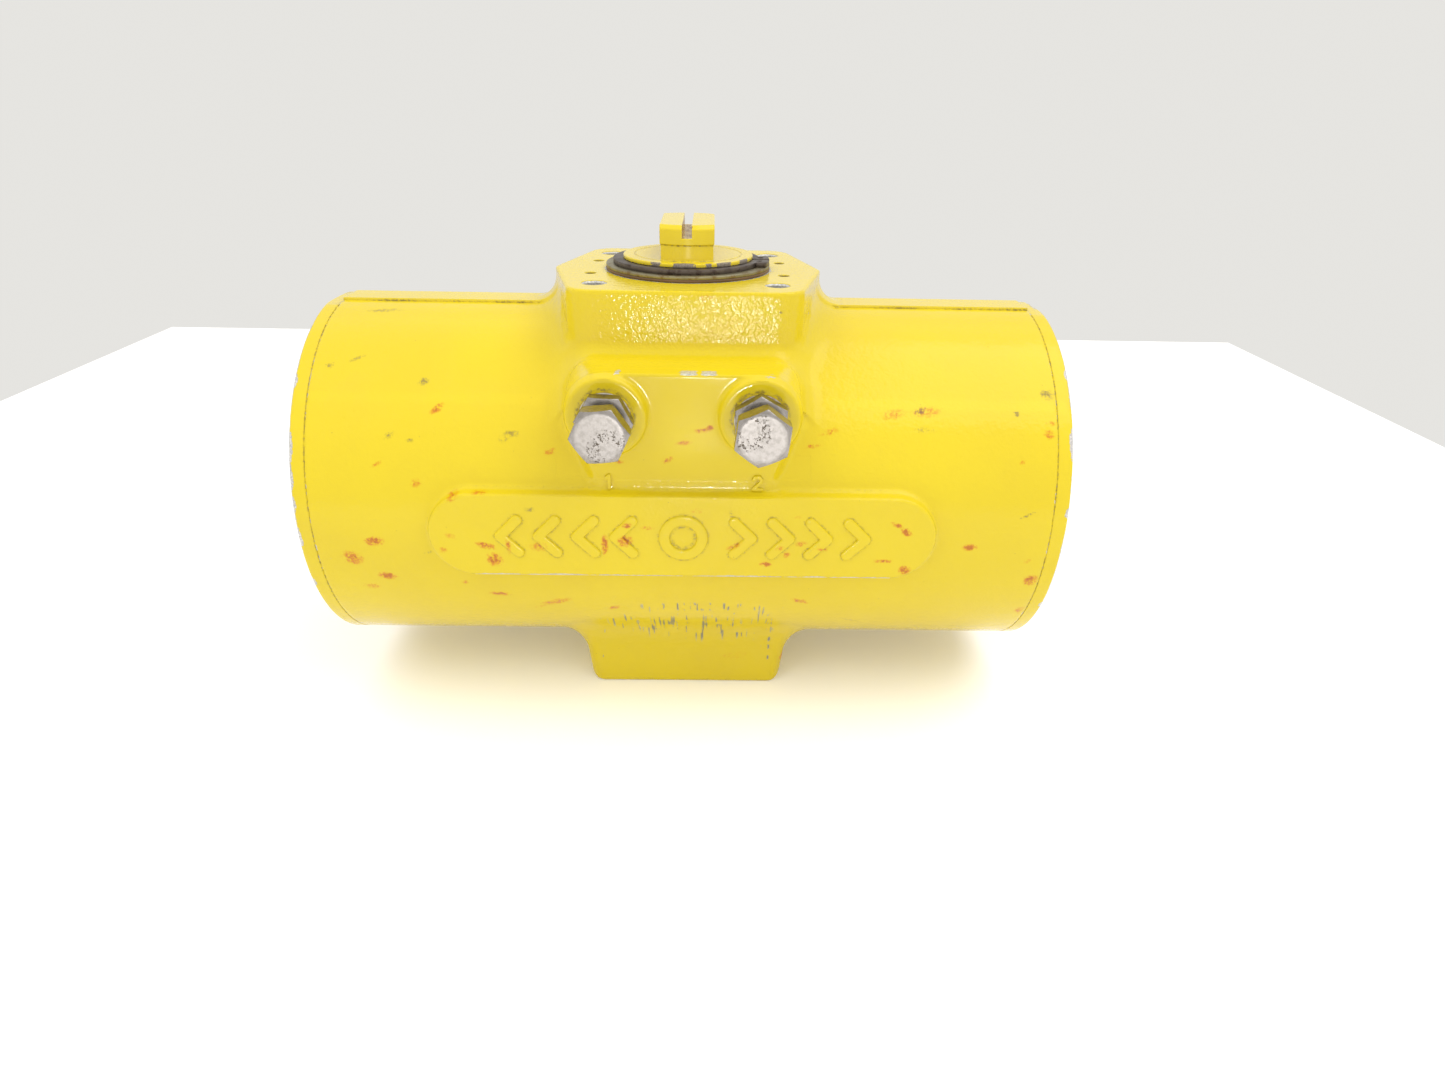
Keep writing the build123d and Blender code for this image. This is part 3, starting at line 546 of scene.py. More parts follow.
# The marks that show best, by the surface they lie on, and smaller ones strewn among them.
# Each mark: x, height, half length, half width (mm), tilt (degrees), strength.
MARKS = {
    "rust": {
        "barrel": (
            (-96, 47, 3.5, 1.5, 40, 0.75), (-123, -3, 4.0, 2.0, 5, 1.0), (-133, -11, 4.5, 3.5, -10, 0.7),
            (-121, -20, 4.0, 2.0, -10, 0.85), (-129, -26, 4.0, 2.0, 0, 0.45), (-77, -30, 4.5, 1.5, -5, 0.7),
            (-54, -35, 7.5, 2.0, 18, 0.6), (-104, 21, 2.5, 2.0, 20, 0.5), (-89, 17, 3.0, 2.0, 30, 0.6),
            (-79, 18, 4.0, 1.5, 5, 0.5), (-52, 33, 3.0, 1.5, 20, 0.5), (143, 41, 2.5, 2.0, 0, 0.6),
            (95, 48, 6.5, 2.5, 5, 0.5), (82, 47, 5.5, 2.5, 15, 0.45), (115, -3, 3.0, 1.5, 5, 1.0),
            (143, -19, 3.0, 3.0, 30, 0.85), (144, -38, 2.5, 3.5, 0, 0.5), (49, -33, 4.5, 1.5, -20, 0.65),
            (57, 41, 5.0, 1.5, 15, 0.45), (50, 36, 4.5, 1.0, 8, 0.5), (-30, -39, 3.0, 1.5, 30, 0.7),
        ) + scattered(11, 10, (-145, 145), (-45, 45), (2, 4), (0.8, 1.6), (-20, 30), (0.35, 0.5)),
        "block": ((10, 46, 1.5, 1.0, 0, 1.1), (7, 45, 3.0, 0.9, 5, 0.8), (-6, 33, 2.5, 1.2, 25, 0.75),
                  (0, 40, 3.5, 1.0, 5, 0.6), (-25, 32, 2.5, 0.8, 0, 0.8), (41, 40, 1.5, 1.0, 40, 0.9)),
        "panel": (
            (-75, -9, 3.5, 3.0, 0, 0.8), (-95, -5, 2.0, 1.5, 0, 0.45), (33, -10, 2.5, 1.0, 0, 1.0),
            (89, -12, 2.5, 2.0, 10, 1.0), (88, 5, 2.5, 1.5, -30, 1.1), (84, 8, 3.0, 0.9, -20, 0.9),
            (-22, 7, 2.0, 1.2, 10, 1.0), (-23, 0, 3.0, 2.5, 5, 0.8), (-31, -2, 1.5, 5.0, 0, 0.75),
            (-78, -3, 4.0, 1.5, -15, 0.9), (-69, -3, 1.2, 5.0, 0, 0.6), (-57, -3, 4.0, 2.5, 10, 0.5),
            (-48, -16, 4.0, 0.8, 0, 0.8), (20, -2, 4.0, 1.2, 30, 0.5), (80, -8, 4.0, 0.8, 0, 0.8),
        ) + scattered(12, 4, (35, 78), (-12, 2), (1.2, 3.5), (0.7, 1.8), (-10, 20), (0.5, 0.6)),
        "neck": ((8, 89, 3.5, 1.5, 10, 0.35),),
        "foot": ((46, -77, 4.0, 1.0, 60, 0.8), (23, -77, 9.5, 3.0, 10, 0.25)),
    },
    "dirt_and_shade": {
        "barrel": (
            (-114, 38, 3.0, 1.5, 30, 0.6), (-67, 39, 4.5, 2.0, 10, 0.55), (-130, 62, 5.5, 1.2, 30, 0.55),
            (-126, 75, 9.0, 1.8, 5, 0.55), (143, 54, 3.0, 2.5, 0, 0.8), (94, 42, 5.0, 1.5, -5, 0.5),
            (136, 11, 4.0, 0.6, 25, 0.8), (73, -48, 6.5, 0.6, -25, 0.6), (-140, 60, 2.5, 2.0, 20, 0.5),
        ) + scattered(13, 8, (-145, 145), (-30, 68), (0.7, 3.0), (0.7, 2.0), (0, 30), (0.4, 0.9)),
        "neck": ((-17, 70, 8.0, 2.0, 0, 0.2), (37, 84, 2.5, 0.9, 25, 0.6)),
    },
    "bare": {
        "barrel": ((-138, 3, 2.5, 1.5, 30, 0.38), (-142, -11, 2.0, 1.5, 0, 0.42),
                   (33, -51, 2.0, 7.0, -8, 1.0), (37, -51, 1.3, 3.5, 0, 0.8), (-38, -49, 1.0, 2.5, 0, 0.9))
        + scattered(14, 8, (-20, 36), (-54, -35), (0.8, 4.0), (0.7, 4.5), (0, 0), (0.4, 0.7)),
        "block": ((2, 66.3, 4.5, 0.4, 0, 1.05), (9.5, 66.3, 4.0, 0.4, 0, 1.05),
                  (-24.5, 66.3, 2.0, 0.35, 6, 0.8), (32, 66, 3.0, 0.35, -8, 0.75)),
        "foot": ((-40, -78, 2.5, 0.8, 0, 1.1), (38, -66, 2.0, 2.5, -20, 1.0), (38, -72, 1.2, 1.5, -20, 1.0),
                 (38, -78, 1.5, 1.0, 0, 1.1))
        + scattered(15, 11, (-38, 32), (-65, -61), (0.6, 1.4), (1.9, 5.5), (-10, 0), (0.5, 0.9)),
    },
}

# Upright scratches above the foot: x, height, half width, half height.
SCRATCHES = ((2.0, -56.0, 22.0, 10.0), (34.5, -55.0, 4.5, 14.0), (-27.0, -52.0, 6.0, 6.0),
             (8.0, -38.0, 26.0, 2.5))
FLAT_FRONTS = {"panel": PANEL_FACE, "block": BLOCK_FACE, "neck": NECK_HALF_DEPTH, "foot": FOOT_HALF_DEPTH}


def mark_field(points, kind):
    """Strength of the nearest mark of a kind at each point: 1 in its middle, fading to 0 at its rim."""
    value = np.zeros(len(points))
    rows = [(surface, *mark) for surface, marks in MARKS[kind].items() for mark in marks]
    for surface, x, z, long, wide, tilt, strength in rows:
        if surface in FLAT_FRONTS:
            y, normal = -FLAT_FRONTS[surface], np.array((0.0, -1.0, 0.0))
        else:
            y = -math.sqrt(BARREL_R**2 - z * z)
            normal = np.array((0.0, y, z)) / BARREL_R
        across = np.array((1.0, 0, 0))
        up = np.cross(across, normal)
        up *= np.sign(up[2]) or 1
        t = math.radians(tilt)
        first = across * math.cos(t) + up * math.sin(t)
        second = up * math.cos(t) - across * math.sin(t)
        away = points - np.array((x, y, z))
        near = np.abs(away @ normal) < 5.0
        reach = np.hypot(away @ first / long, away @ second / wide)
        value = np.maximum(value, np.where(near, strength * np.clip(1.35 - reach, 0, 1), 0))
    return value


def convex_edge(a, b, width):
    """1 on the edge where two faces meet, falling to 0 at a distance of width."""
    return np.clip(1 - np.hypot(a, b) / (1.7 * width), 0, 1)


def faded(distance, width):
    """1 where a distance is 0, falling to 0 where it reaches a width."""
    return np.clip(1 - np.abs(distance) / width, 0, 1)


def housing_dirt_and_shade(x, y, z):
    """Grime in the creases beside the rail and around the panel, painted shade around the foot of the panel's
    relief, and a painted shade ring around the nuts.
    """
    boss = np.hypot(np.abs(x) - STOP_X, z - STOP_Z)
    on_panel = y < -PANEL_FACE + 0.5
    crease = np.clip(1.2 - np.hypot(np.abs(y) - RAIL_HALF - 0.2, z - 76.9), 0, 1)
    crease *= (np.abs(x) > 62) * (0.55 + 0.35 * np.sin(x * 0.19) * np.sin(x * 0.043 + 1))
    panel_seat = faded(np.abs(panel_outline(x, z) - 1.4), 0.9) * (y < -70) * 0.30
    # painted shade along the foot of the panel's relief and in the hollow inside its ring
    relief_foot_shade = faded(relief_outline(x, z) - 0.5, 1.1) * on_panel * 0.52
    ring_hollow_shade = faded(np.hypot(x, z - PANEL_MID) - 4.6, 1.6) * on_panel * 0.5
    # painted shade: a dark ring on each boss face around the nut
    nut_shade_ring = faded(boss - 10.6, 1.6) * (y < -78.5) * 0.75
    foot_skirt = faded(z - FOOT_BOTTOM - 1, 1.5) * 0.35
    end_seam = faded(np.abs(x) - BARREL_END, 0.5) * 0.60
    return np.maximum.reduce([crease, panel_seat, relief_foot_shade, ring_hollow_shade, nut_shade_ring, foot_skirt, end_seam])


def housing_edges(x, y, z):
    """Convex edges whose paint has worn."""
    boss = np.hypot(np.abs(x) - STOP_X, z - STOP_Z)
    panel = panel_outline(x, z), -y - PANEL_FACE
    return np.maximum.reduce([
        convex_edge(*panel, 0.9) * (z < -8) * (np.abs(x) < 84) * 1.75,
        convex_edge(*panel, 0.7) * 0.80,
        convex_edge(block_outline(x, z), -y - BLOCK_FACE, 0.9) * (z > STOP_Z + 8) * 0.9,
        convex_edge(neck_walls(x, y, z), z - PAD_TOP, 1.0) * 0.92,
        convex_edge(boss - 14.8, -y - BOSS_FACE, 0.7) * 0.85,
        convex_edge(np.hypot(y, z) - BARREL_R, np.abs(x) - BARREL_END, 0.8) * 1.25,
        convex_edge(np.abs(y) - FOOT_HALF_DEPTH, FOOT_BOTTOM - z, 1.2) * 1.2,
        convex_edge(np.abs(y) - RAIL_HALF, z - RAIL_TOP, 0.7) * 0.8,
        convex_edge(y - VALVE_FACE, valve_outline(x, z), 0.8) * 0.9,
    ])


def housing_bare(x, y, z):
    """Rubbed patches on the slanted neck faces, and walls of holes that were never painted."""
    boss = np.hypot(np.abs(x) - STOP_X, z - STOP_Z)
    slanted = (np.abs(neck_walls(x, y, z)) < 0.4) & (np.abs(y) < 44) & (z > 68)
    rubbed = slanted * np.clip(1.1 - np.hypot((np.abs(y) - 30) / 16, (z - 80) / 10), 0, 1) * 0.42
    flange_holes = (np.hypot(np.abs(x) - FLANGE_BOLT, np.abs(y) - FLANGE_BOLT) < 5.35) & in_pad(z)
    shaft_bore = (np.hypot(x, y) < 35.2) & (np.hypot(y, z) > 60)
    cylinder = np.hypot(y, z) < BORE_R + 2.5
    stop_holes = (boss < 8.6) & (y > -BOSS_FACE + 0.05) & (y < -40)
    ports = (np.hypot(np.abs(x) - PORT_X, z) < 6.7) & (y > 50) & (y < VALVE_FACE - 0.05)
    return np.maximum(rubbed, 2.0 * (flange_holes | shaft_bore | cylinder | stop_holes | ports))


def in_pad(z):
    return (z < PAD_TOP - 0.05) & (z > 60)


def housing_peel(x, y, z):
    """Orange peel compared with elsewhere: coarse (above 0) on the neck, smooth (below 0) on the block."""
    neck_front = np.clip((-y - 49.5) / 1.0, 0, 1) * np.clip((z - 66.0) / 5.0, 0, 1) * (y > -62)
    neck_front = neck_front * np.clip((42.0 - np.abs(x - 8.0)) / 20.0, 0, 1)
    return np.where((y < -70) & (z > 24) & (np.abs(x) < 50), -0.65, neck_front)


def housing_fields(points):
    """Grime and painted shade, rust, chips, worn edges, scratches and peel on the housing, for each point in
    millimetres.
    """
    x, y, z = points.T
    dirt_and_shade, bare, rust = (mark_field(points, kind) for kind in ("dirt_and_shade", "bare", "rust"))
    small_holes = (np.hypot(np.abs(x) - ACCESSORY_BOLT[0], np.abs(y) - ACCESSORY_BOLT[1]) < 2.9) & in_pad(z)
    dirt_and_shade = np.maximum.reduce([dirt_and_shade, housing_dirt_and_shade(x, y, z), 1.3 * small_holes])
    bare = np.maximum(bare, housing_bare(x, y, z))

    # on the lower front the chips are dark scratches rather than bright metal
    low_front = (z < -32) & (y < -40)
    scratch = np.where(low_front, 1.3 * bare, 0.0)
    bare = np.where(low_front & (z > FOOT_BOTTOM + 2), 0.0, bare)
    for middle_x, middle_z, half_x, half_z in SCRATCHES:
        reach = np.hypot((x - middle_x) / half_x, (z - middle_z) / half_z)
        scratch = np.maximum(scratch, np.clip(1.6 - reach, 0, 1) * (y < -40))
    return {
        "dirt_and_shade": dirt_and_shade,
        "rust": rust,
        "bare": bare,
        "edge": housing_edges(x, y, z),
        "scratch": scratch,
        "peel": housing_peel(x, y, z),
    }


# ------------------------------------------------------------ mesh pieces


def linked(name, data):
    """A new object in the scene."""
    made = bpy.data.objects.new(name, data)
    bpy.context.scene.collection.objects.link(made)
    return made


def store(mesh, name, values):
    """Keeps one number per point, for the materials to read."""
    attribute = mesh.attributes.get(name) or mesh.attributes.new(name, "FLOAT", "POINT")
    attribute.data.foreach_set("value", np.asarray(values, np.float32))


def make_piece(name, points, faces, material, body, smooth_angle=35):
    """A mesh object from points in millimetres, riding on a CAD body."""
    mesh = bpy.data.meshes.new(name)
    mesh.from_pydata(to_metres(points).tolist(), [], [list(f) for f in faces])
    mesh.validate()
    return place_piece(name, mesh, material, body, smooth_angle)


def shade(mesh, angle):
    """Smooth shading, with creases sharper than an angle in degrees kept."""
    mesh.shade_smooth()
    mesh.set_sharp_from_angle(angle=math.radians(angle))


def place_piece(name, mesh, material, body, smooth_angle=35):
    """An object for a mesh in metres, riding on a CAD body."""
    shade(mesh, smooth_angle)
    mesh.materials.clear()
    mesh.materials.append(material)
    piece = linked(name, mesh)
    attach(piece, body)
    return piece


def points_mm(mesh):
    """A mesh's points in millimetres about the barrel's axis."""
    co = np.zeros(len(mesh.vertices) * 3)
    mesh.vertices.foreach_get("co", co)
    co = co.reshape(-1, 3) / MM
    co[:, 2] -= AXIS
    return co


def lathe(profile, direction, origin, segments=96):
    """Points and faces of a closed profile of (distance along, radius), turned about an axis."""
    direction = Vector(direction).normalized()
    side = direction.orthogonal().normalized()
    other = direction.cross(side)
    points, faces = [], []
    count = len(profile)
    for i in range(segments):
        a = 2 * math.pi * i / segments
        ray = side * math.cos(a) + other * math.sin(a)
        points += [Vector(origin) + direction * h + ray * r for h, r in profile]
        j = (i + 1) % segments
        faces += [(i * count + k, i * count + (k + 1) % count, j * count + (k + 1) % count, j * count + k)
                  for k in range(count)]
    return [tuple(p) for p in points], faces


@contextlib.contextmanager
def edited(mesh):
    """A bmesh of a mesh, written back to it afterwards."""
    working = bmesh.new()
    working.from_mesh(mesh)
    yield working
    working.to_mesh(mesh)
    working.free()


def weld(working, distance):
    bmesh.ops.remove_doubles(working, verts=working.verts, dist=distance)


def dissolve_flat(working):
    """Joins faces that lie within a degree of each other."""
    bmesh.ops.dissolve_limit(working, angle_limit=math.radians(1.0), verts=working.verts, edges=working.edges)


def outward(working):
    bmesh.ops.recalc_face_normals(working, faces=working.faces)


def round_edges(piece, radius, angle):
    """A bevel modifier on the edges sharper than an angle in degrees."""
    rounding = piece.modifiers.new("rounding", "BEVEL")
    rounding.width, rounding.segments = radius * MM, 2
    rounding.limit_method, rounding.angle_limit = "ANGLE", math.radians(angle)


def baked(piece):
    """A piece's mesh with its modifiers applied."""
    bpy.context.view_layer.update()
    mesh = bpy.data.meshes.new_from_object(piece.evaluated_get(bpy.context.evaluated_depsgraph_get()))
    piece.modifiers.clear()
    return mesh


def cut(target, cutters):
    """Subtracts closed meshes from a piece and bakes the result into its mesh."""
    points, faces = [], []
    for cutter_points, cutter_faces in cutters:
        faces += [tuple(i + len(points) for i in f) for f in cutter_faces]
        points += list(cutter_points)
    mesh = bpy.data.meshes.new("cutters")
    mesh.from_pydata(to_metres(points).tolist(), [], [list(f) for f in faces])
    with edited(mesh) as working:
        weld(working, WELD)
        outward(working)
    tool = linked("cutters", mesh)
    boolean = target.modifiers.new("cut", "BOOLEAN")
    boolean.operation, boolean.solver, boolean.object = "DIFFERENCE", "MANIFOLD", tool
    result = baked(target)
    old, target.data = target.data, result
    bpy.data.meshes.remove(old)
    bpy.data.objects.remove(tool)
    return result


def hole(origin, direction, radius, depth, chamfer=0.0, segments=48):
    """A drill shape entering at origin along direction, with a chamfered mouth."""
    mouth = radius + chamfer + 1.0
    entry = [(-1.0, mouth), (0.0, radius + chamfer), (chamfer, radius)] if chamfer else [(-1.0, radius)]
    return lathe([(-1.0, 0.0), *entry, (depth, radius), (depth, 0.0)], direction, origin, segments)


def cad_copy(node, name, material, body, bevel=0.25):
    """A CAD node's shape with its edges rounded."""
    mesh = frame["nodes"][node].data.copy()
    mesh.name = name
    with edited(mesh) as working:
        weld(working, CAD_WELD)
        dissolve_flat(working)
    piece = place_piece(name, mesh, material, body)
    round_edges(piece, bevel, 32)
    piece.data = baked(piece)
    shade(piece.data, 40)
    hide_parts(node)
    return piece


# ------------------------------------------------------------ housing

HOUSING_STEP = 0.8
housing_points, housing_faces = mesh_from_field(housing_field, HOUSING_LOW, HOUSING_HIGH, HOUSING_STEP)
housing = make_piece("housing_casting", housing_points, housing_faces, paint, "housing")



def rod(start, end, radius, direction, segments):
    """A cylinder along a direction from the middle of the barrel."""
    return lathe([(start, 0), (start, radius), (end, radius), (end, 0)], direction, (0, 0, 0), segments)


UP, DOWN, REAR, FRONT = (0, 0, 1), (0, 0, -1), (0, 1, 0), (0, -1, 0)
cutters = [
    rod(-PISTON_BORE_HALF, PISTON_BORE_HALF, BORE_R, (1, 0, 0), 192),
    rod(-FOOT_BOTTOM - 3.2, -FOOT_BOTTOM + 2, 35, DOWN, 128),
    rod(60, -FOOT_BOTTOM - 3, 32.4, DOWN, 96),
    rod(60, PAD_TOP + 2, 27.9, UP, 96),
]
for sx in (-1, 1):
    for sy in (-1, 1):
        bolt_x, bolt_y = sx * FLANGE_BOLT, sy * FLANGE_BOLT
        cutters.append(hole((bolt_x, bolt_y, PAD_TOP), DOWN, 4.35, 18, 0.85))
        cutters.append(hole((bolt_x, bolt_y, FOOT_BOTTOM), UP, 4.35, 16))
        accessory_x, accessory_y = sx * ACCESSORY_BOLT[0], sy * ACCESSORY_BOLT[1]
        cutters.append(hole((accessory_x, accessory_y, PAD_TOP), DOWN, 2.15, 10, 0.45, 32))
        valve_x, valve_z = sx * VALVE_BOLT[0], sy * VALVE_BOLT[1]
        cutters.append(hole((valve_x, VALVE_FACE, valve_z), FRONT, 2.1, 8, 0.3, 32))
    cutters.append(hole((sx * PORT_X, VALVE_FACE, 0), FRONT, 5.9, 9, 0.8))
    cutters.append(hole((sx * STOP_X, -BOSS_FACE, STOP_Z), REAR, 8.4, 2.4))
    cutters.append(hole((sx * STOP_X, -BOSS_FACE + 2, STOP_Z), REAR, 6.08, 43))
housing_mesh = cut(housing, cutters)
for field_name, values in housing_fields(points_mm(housing_mesh)).items():
    store(housing_mesh, field_name, values)
shade(housing_mesh, 38)
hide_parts("housing")

relief_low, relief_high = (-80, -RELIEF, PANEL_MID - 12), (80, -PANEL_FACE + 1, PANEL_MID + 12)
relief_step = 0.35
relief_points, relief_faces = mesh_from_field(relief_field, relief_low, relief_high, relief_step)
relief = make_piece("panel_relief", relief_points, relief_faces, paint, "housing")
rx, ry, rz = relief_points.T
# painted shade: the relief's sides darken towards the panel
store(relief.data, "dirt_and_shade", np.clip((ry + RELIEF) / 0.9, 0, 1) * 0.45)
store(relief.data, "edge", convex_edge(relief_outline(rx, rz), -ry - RELIEF, 0.5) * 0.78)
store(relief.data, "rust", mark_field(relief_points, "rust"))


def numeral_field(lines, where, normal, up):
    """Small raised strokes on a sloping surface, half sunk into it."""
    origin, out, rise = (np.array(v, float) for v in (where, normal, up))
    across = np.cross(rise, out)

    def field(x, y, z):
        from_origin = x - origin[0], y - origin[1], z - origin[2]
        u, v, w = (sum(p * q for p, q in zip(from_origin, axis)) for axis in (across, rise, out))
        return round_and(strokes(u, v, lines) - 0.68, np.abs(w) - 0.9, 0.25)

    return field


NUMERALS = {
    "left": (((0.0, -2.6), (0.0, 2.6)), ((0.0, 2.6), (-1.1, 1.7))),
    "right": (((-1.5, 1.4), (-1.0, 2.5)), ((-1.0, 2.5), (0.8, 2.5)), ((0.8, 2.5), (1.5, 1.5)),
              ((1.5, 1.5), (1.2, 0.4)), ((1.2, 0.4), (-1.6, -2.6)), ((-1.6, -2.6), (1.7, -2.6))),
}
NUMERAL_HEIGHT = 23.4


def front_surface(x, z):
    """The point of the housing's front at a place, and the direction that faces out of it."""
    ys = np.linspace(-90, -60, 3001)
    inside = housing_field(np.full(len(ys), x), ys, np.full(len(ys), z)) < 0
    spot = np.array((x, ys[np.argmax(inside)], z))
    slope = gradient(housing_field, spot, 0.05)
    return spot, slope / np.linalg.norm(slope)


for name, side in SIDES.items():
    spot, out = front_surface(side * STOP_X, NUMERAL_HEIGHT)
    rise = np.cross(out, (1.0, 0, 0))
    rise /= np.linalg.norm(rise) * np.sign(rise[2])
    field = numeral_field(NUMERALS[name], spot, out, rise)
    points, faces = mesh_from_field(field, spot - 4, spot + 4, 0.2)
    digit = make_piece(f"port_numeral_{name}", points, faces, paint, "housing")
    # painted shade: each numeral darkens where it meets the surface
    store(digit.data, "dirt_and_shade", np.clip(0.6 - (points - spot) @ out, 0, 1) * 0.9)


# ------------------------------------------------------------ end caps


# height and half length of the chips on each cap's front rim
CAP_CHIPS = {
    "left": ((33.0, 7.0), (22.0, 5.0), (-2.0, 5.0), (12.0, 4.0), (-24.0, 2.5), (55.0, 2.5)),
    "right": ((38.0, 6.5), (12.0, 2.5), (-34.0, 2.0), (60.0, 2.0)),
}
CAP_RIM = 1.4
CAP_FLAT = 76.0
SPIGOT_END = -15.6
# middle, floor radius and width of the grooves for the key and the seal
SPIGOT_GROOVES = ((-11.8, BORE_R - 3.6, 4.2), (-5.6, BORE_R - 2.1, 4.2))


def cap_profile():
    """Half section of a cap as (distance out of the barrel's end, radius), closed on its axis."""
    flange = CAP_HIGH.x - BARREL_END
    spigot = BORE_R - 0.05
    profile = [(0.0, BORE_R - 0.2), (0.0, BARREL_R - 0.35), (0.35, BARREL_R)]
    for degrees in range(0, 91, 15):
        a = math.radians(degrees)
        profile.append((flange - CAP_RIM * (1 - math.sin(a)), BARREL_R - CAP_RIM * (1 - math.cos(a))))
    profile += [(flange, 60.0), (flange - 0.5, 58.5), (flange - 0.5, 12.0), (flange, 10.5), (flange, 0.0)]
    profile += [(flange - 5.2, 0.0), (flange - 5.2, 54.5), (flange - 6.2, 56.0)]
    profile += [(SPIGOT_END, 56.0), (SPIGOT_END, BORE_R - 0.8), (SPIGOT_END + 0.8, spigot)]
    for middle, floor, width in SPIGOT_GROOVES:
        start, end = middle - width / 2, middle + width / 2
        profile += [(start, spigot), (start, floor), (end, floor), (end, spigot)]
    return profile


def end_cap(name, side):
    """Cap with a rounded rim, a flat in line with the rail and a spigot with its two grooves."""
    points, faces = lathe(cap_profile(), (side, 0, 0), (side * BARREL_END, 0, 0), 256)
    piece = make_piece(f"end_cap_cover_{name}", points, faces, cap_paint, "housing", 40)
    with edited(piece.data) as working:
        weld(working, WELD)
        outward(working)
        long_edges = [e for e in working.edges if e.calc_length() > 4 * MM]
        bmesh.ops.subdivide_edges(working, edges=long_edges, cuts=3, use_grid_fill=True)
    ends, depths, heights = (-0.5, 12), (-30, 30), (CAP_FLAT, CAP_FLAT + 8)
    block = [(side * (BARREL_END + a), b, c) for a in ends for b in depths for c in heights]
    block_faces = [(0, 1, 3, 2), (4, 6, 7, 5), (0, 4, 5, 1), (2, 3, 7, 6), (0, 2, 6, 4), (1, 5, 7, 3)]
    mesh = cut(piece, [(block, block_faces)])

    points = points_mm(mesh)
    x, y, z = points.T
    radius, angle = np.hypot(y, z), np.arctan2(-y, z)
    past_rim = np.abs(x) - CAP_HIGH.x + 0.4
    rim = faded(np.hypot(past_rim, radius - BARREL_R + 0.4), 1.5)
    around = 0.55 + 0.30 * np.sin(3 * angle + side) + 0.25 * np.sin(7 * angle + 2 * side)
    seam = faded(np.abs(x) - BARREL_END, 0.6) * (radius > BARREL_R - 1)
    reaches = [np.hypot((z - middle) / half, past_rim / 1.5) for middle, half in CAP_CHIPS[name]]
    chips = 1.3 * np.clip(1.3 - np.minimum.reduce(reaches), 0, 1) * (y < 0) * (radius > BARREL_R - 2.0)
    unpainted = (radius < BORE_R + 0.1) * (np.abs(x) < BARREL_END + 0.1)
    store(mesh, "edge", rim * (0.75 + 0.5 * around))
    store(mesh, "dirt_and_shade", np.maximum(seam * 0.72, mark_field(points, "dirt_and_shade")))
    store(mesh, "rust", mark_field(points, "rust"))
    store(mesh, "bare", np.maximum(chips, 2.0 * unpainted))
    shade(mesh, 38)
    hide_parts(f"end_cap_{name}")


for name, side in SIDES.items():
    end_cap(name, side)


# ------------------------------------------------------------ pinion, circlip and thrust washer

# chips on the disc's front rim: place along it, half length and depth
DISC_CHIPS = ((-1.0, 5.0, 2.3), (-13.0, 3.0, 0.35), (9.0, 1.8, 0.35), (16.0, 4.0, 0.8), (28.0, 4.0, 0.6))
RIM_R = DISC_R - 0.2


def drive_fields(x, y, z):
    """Worn edges, grime, chips and a painted shade band in the undercut groove on the pinion's visible end.
    """
    radius = np.hypot(x, y)
    on_disc, on_boss = z < DISC_TOP + 0.4, z > DISC_TOP + 0.4
    disc_rim = faded(np.hypot(radius - RIM_R, z - DISC_TOP + 0.2), 1.4) * on_disc
    front_rim = disc_rim * (0.62 + 0.20 * np.clip(-y / 27, 0, 1) ** 2)
    boss_top = np.clip(1 - (PINION_HIGH.z - z) / 1.6, 0, 1) * np.clip(1 - (21.5 - radius) / 1.2, 0, 1)
    corner = faded(np.hypot(np.abs(x) - 11.0, radius - 22.3), 1.0)
    # painted shade: a dark band round the boss in its undercut groove
    undercut = faded(z - UNDERCUT, 0.55) * (radius > 10.5) * on_boss
    slot_walls = (z < PINION_HIGH.z - 0.4) * (z > PINION_HIGH.z - SLOT_DEPTH - 0.3)
    in_slot = (np.abs(x) < 2.3) * slot_walls * (radius < 22.0)
    ledge_crease = faded(radius - 22.6, 0.8) * on_disc
    foot = np.maximum(np.abs(x) - DRIVE_HALF_FLATS, radius - DRIVE_R)
    foot_crease = faded(np.hypot(foot, z - 97.3), 0.8)
    groove_wall = (z < GROOVE_TOP + 0.25) * 1.0
    along_rim = RIM_R * np.arctan2(x, -y)
    reaches = [np.hypot((along_rim - middle) / half, (radius - RIM_R) / depth)
               for middle, half, depth in DISC_CHIPS]
    chips = np.clip(1.35 - np.minimum.reduce(reaches), 0, 1) * on_disc * (z > GROOVE_TOP + 0.05)
    creases = [undercut * 0.85, in_slot * 0.62, ledge_crease * 0.65, foot_crease * 0.55, groove_wall]
    return {
        "edge": np.maximum.reduce([front_rim, boss_top * on_boss * 0.595, corner * on_boss * 0.85]),
        "dirt_and_shade": np.maximum.reduce(creases),
        "rust": in_slot * 0.45,
        "bare": np.maximum(chips * 1.15, 0.8 * groove_wall),
    }


drive_low, drive_high = (-28, -28, DRIVE_FOOT), (28, 28, PINION_HIGH.z)
drive_points, drive_faces = mesh_from_field(drive_field, drive_low, drive_high, 0.3)
drive_end = make_piece("drive_end", drive_points, drive_faces, drive_paint, "pinion", 30)
for field_name, values in drive_fields(*drive_points.T).items():
    store(drive_end.data, field_name, values)

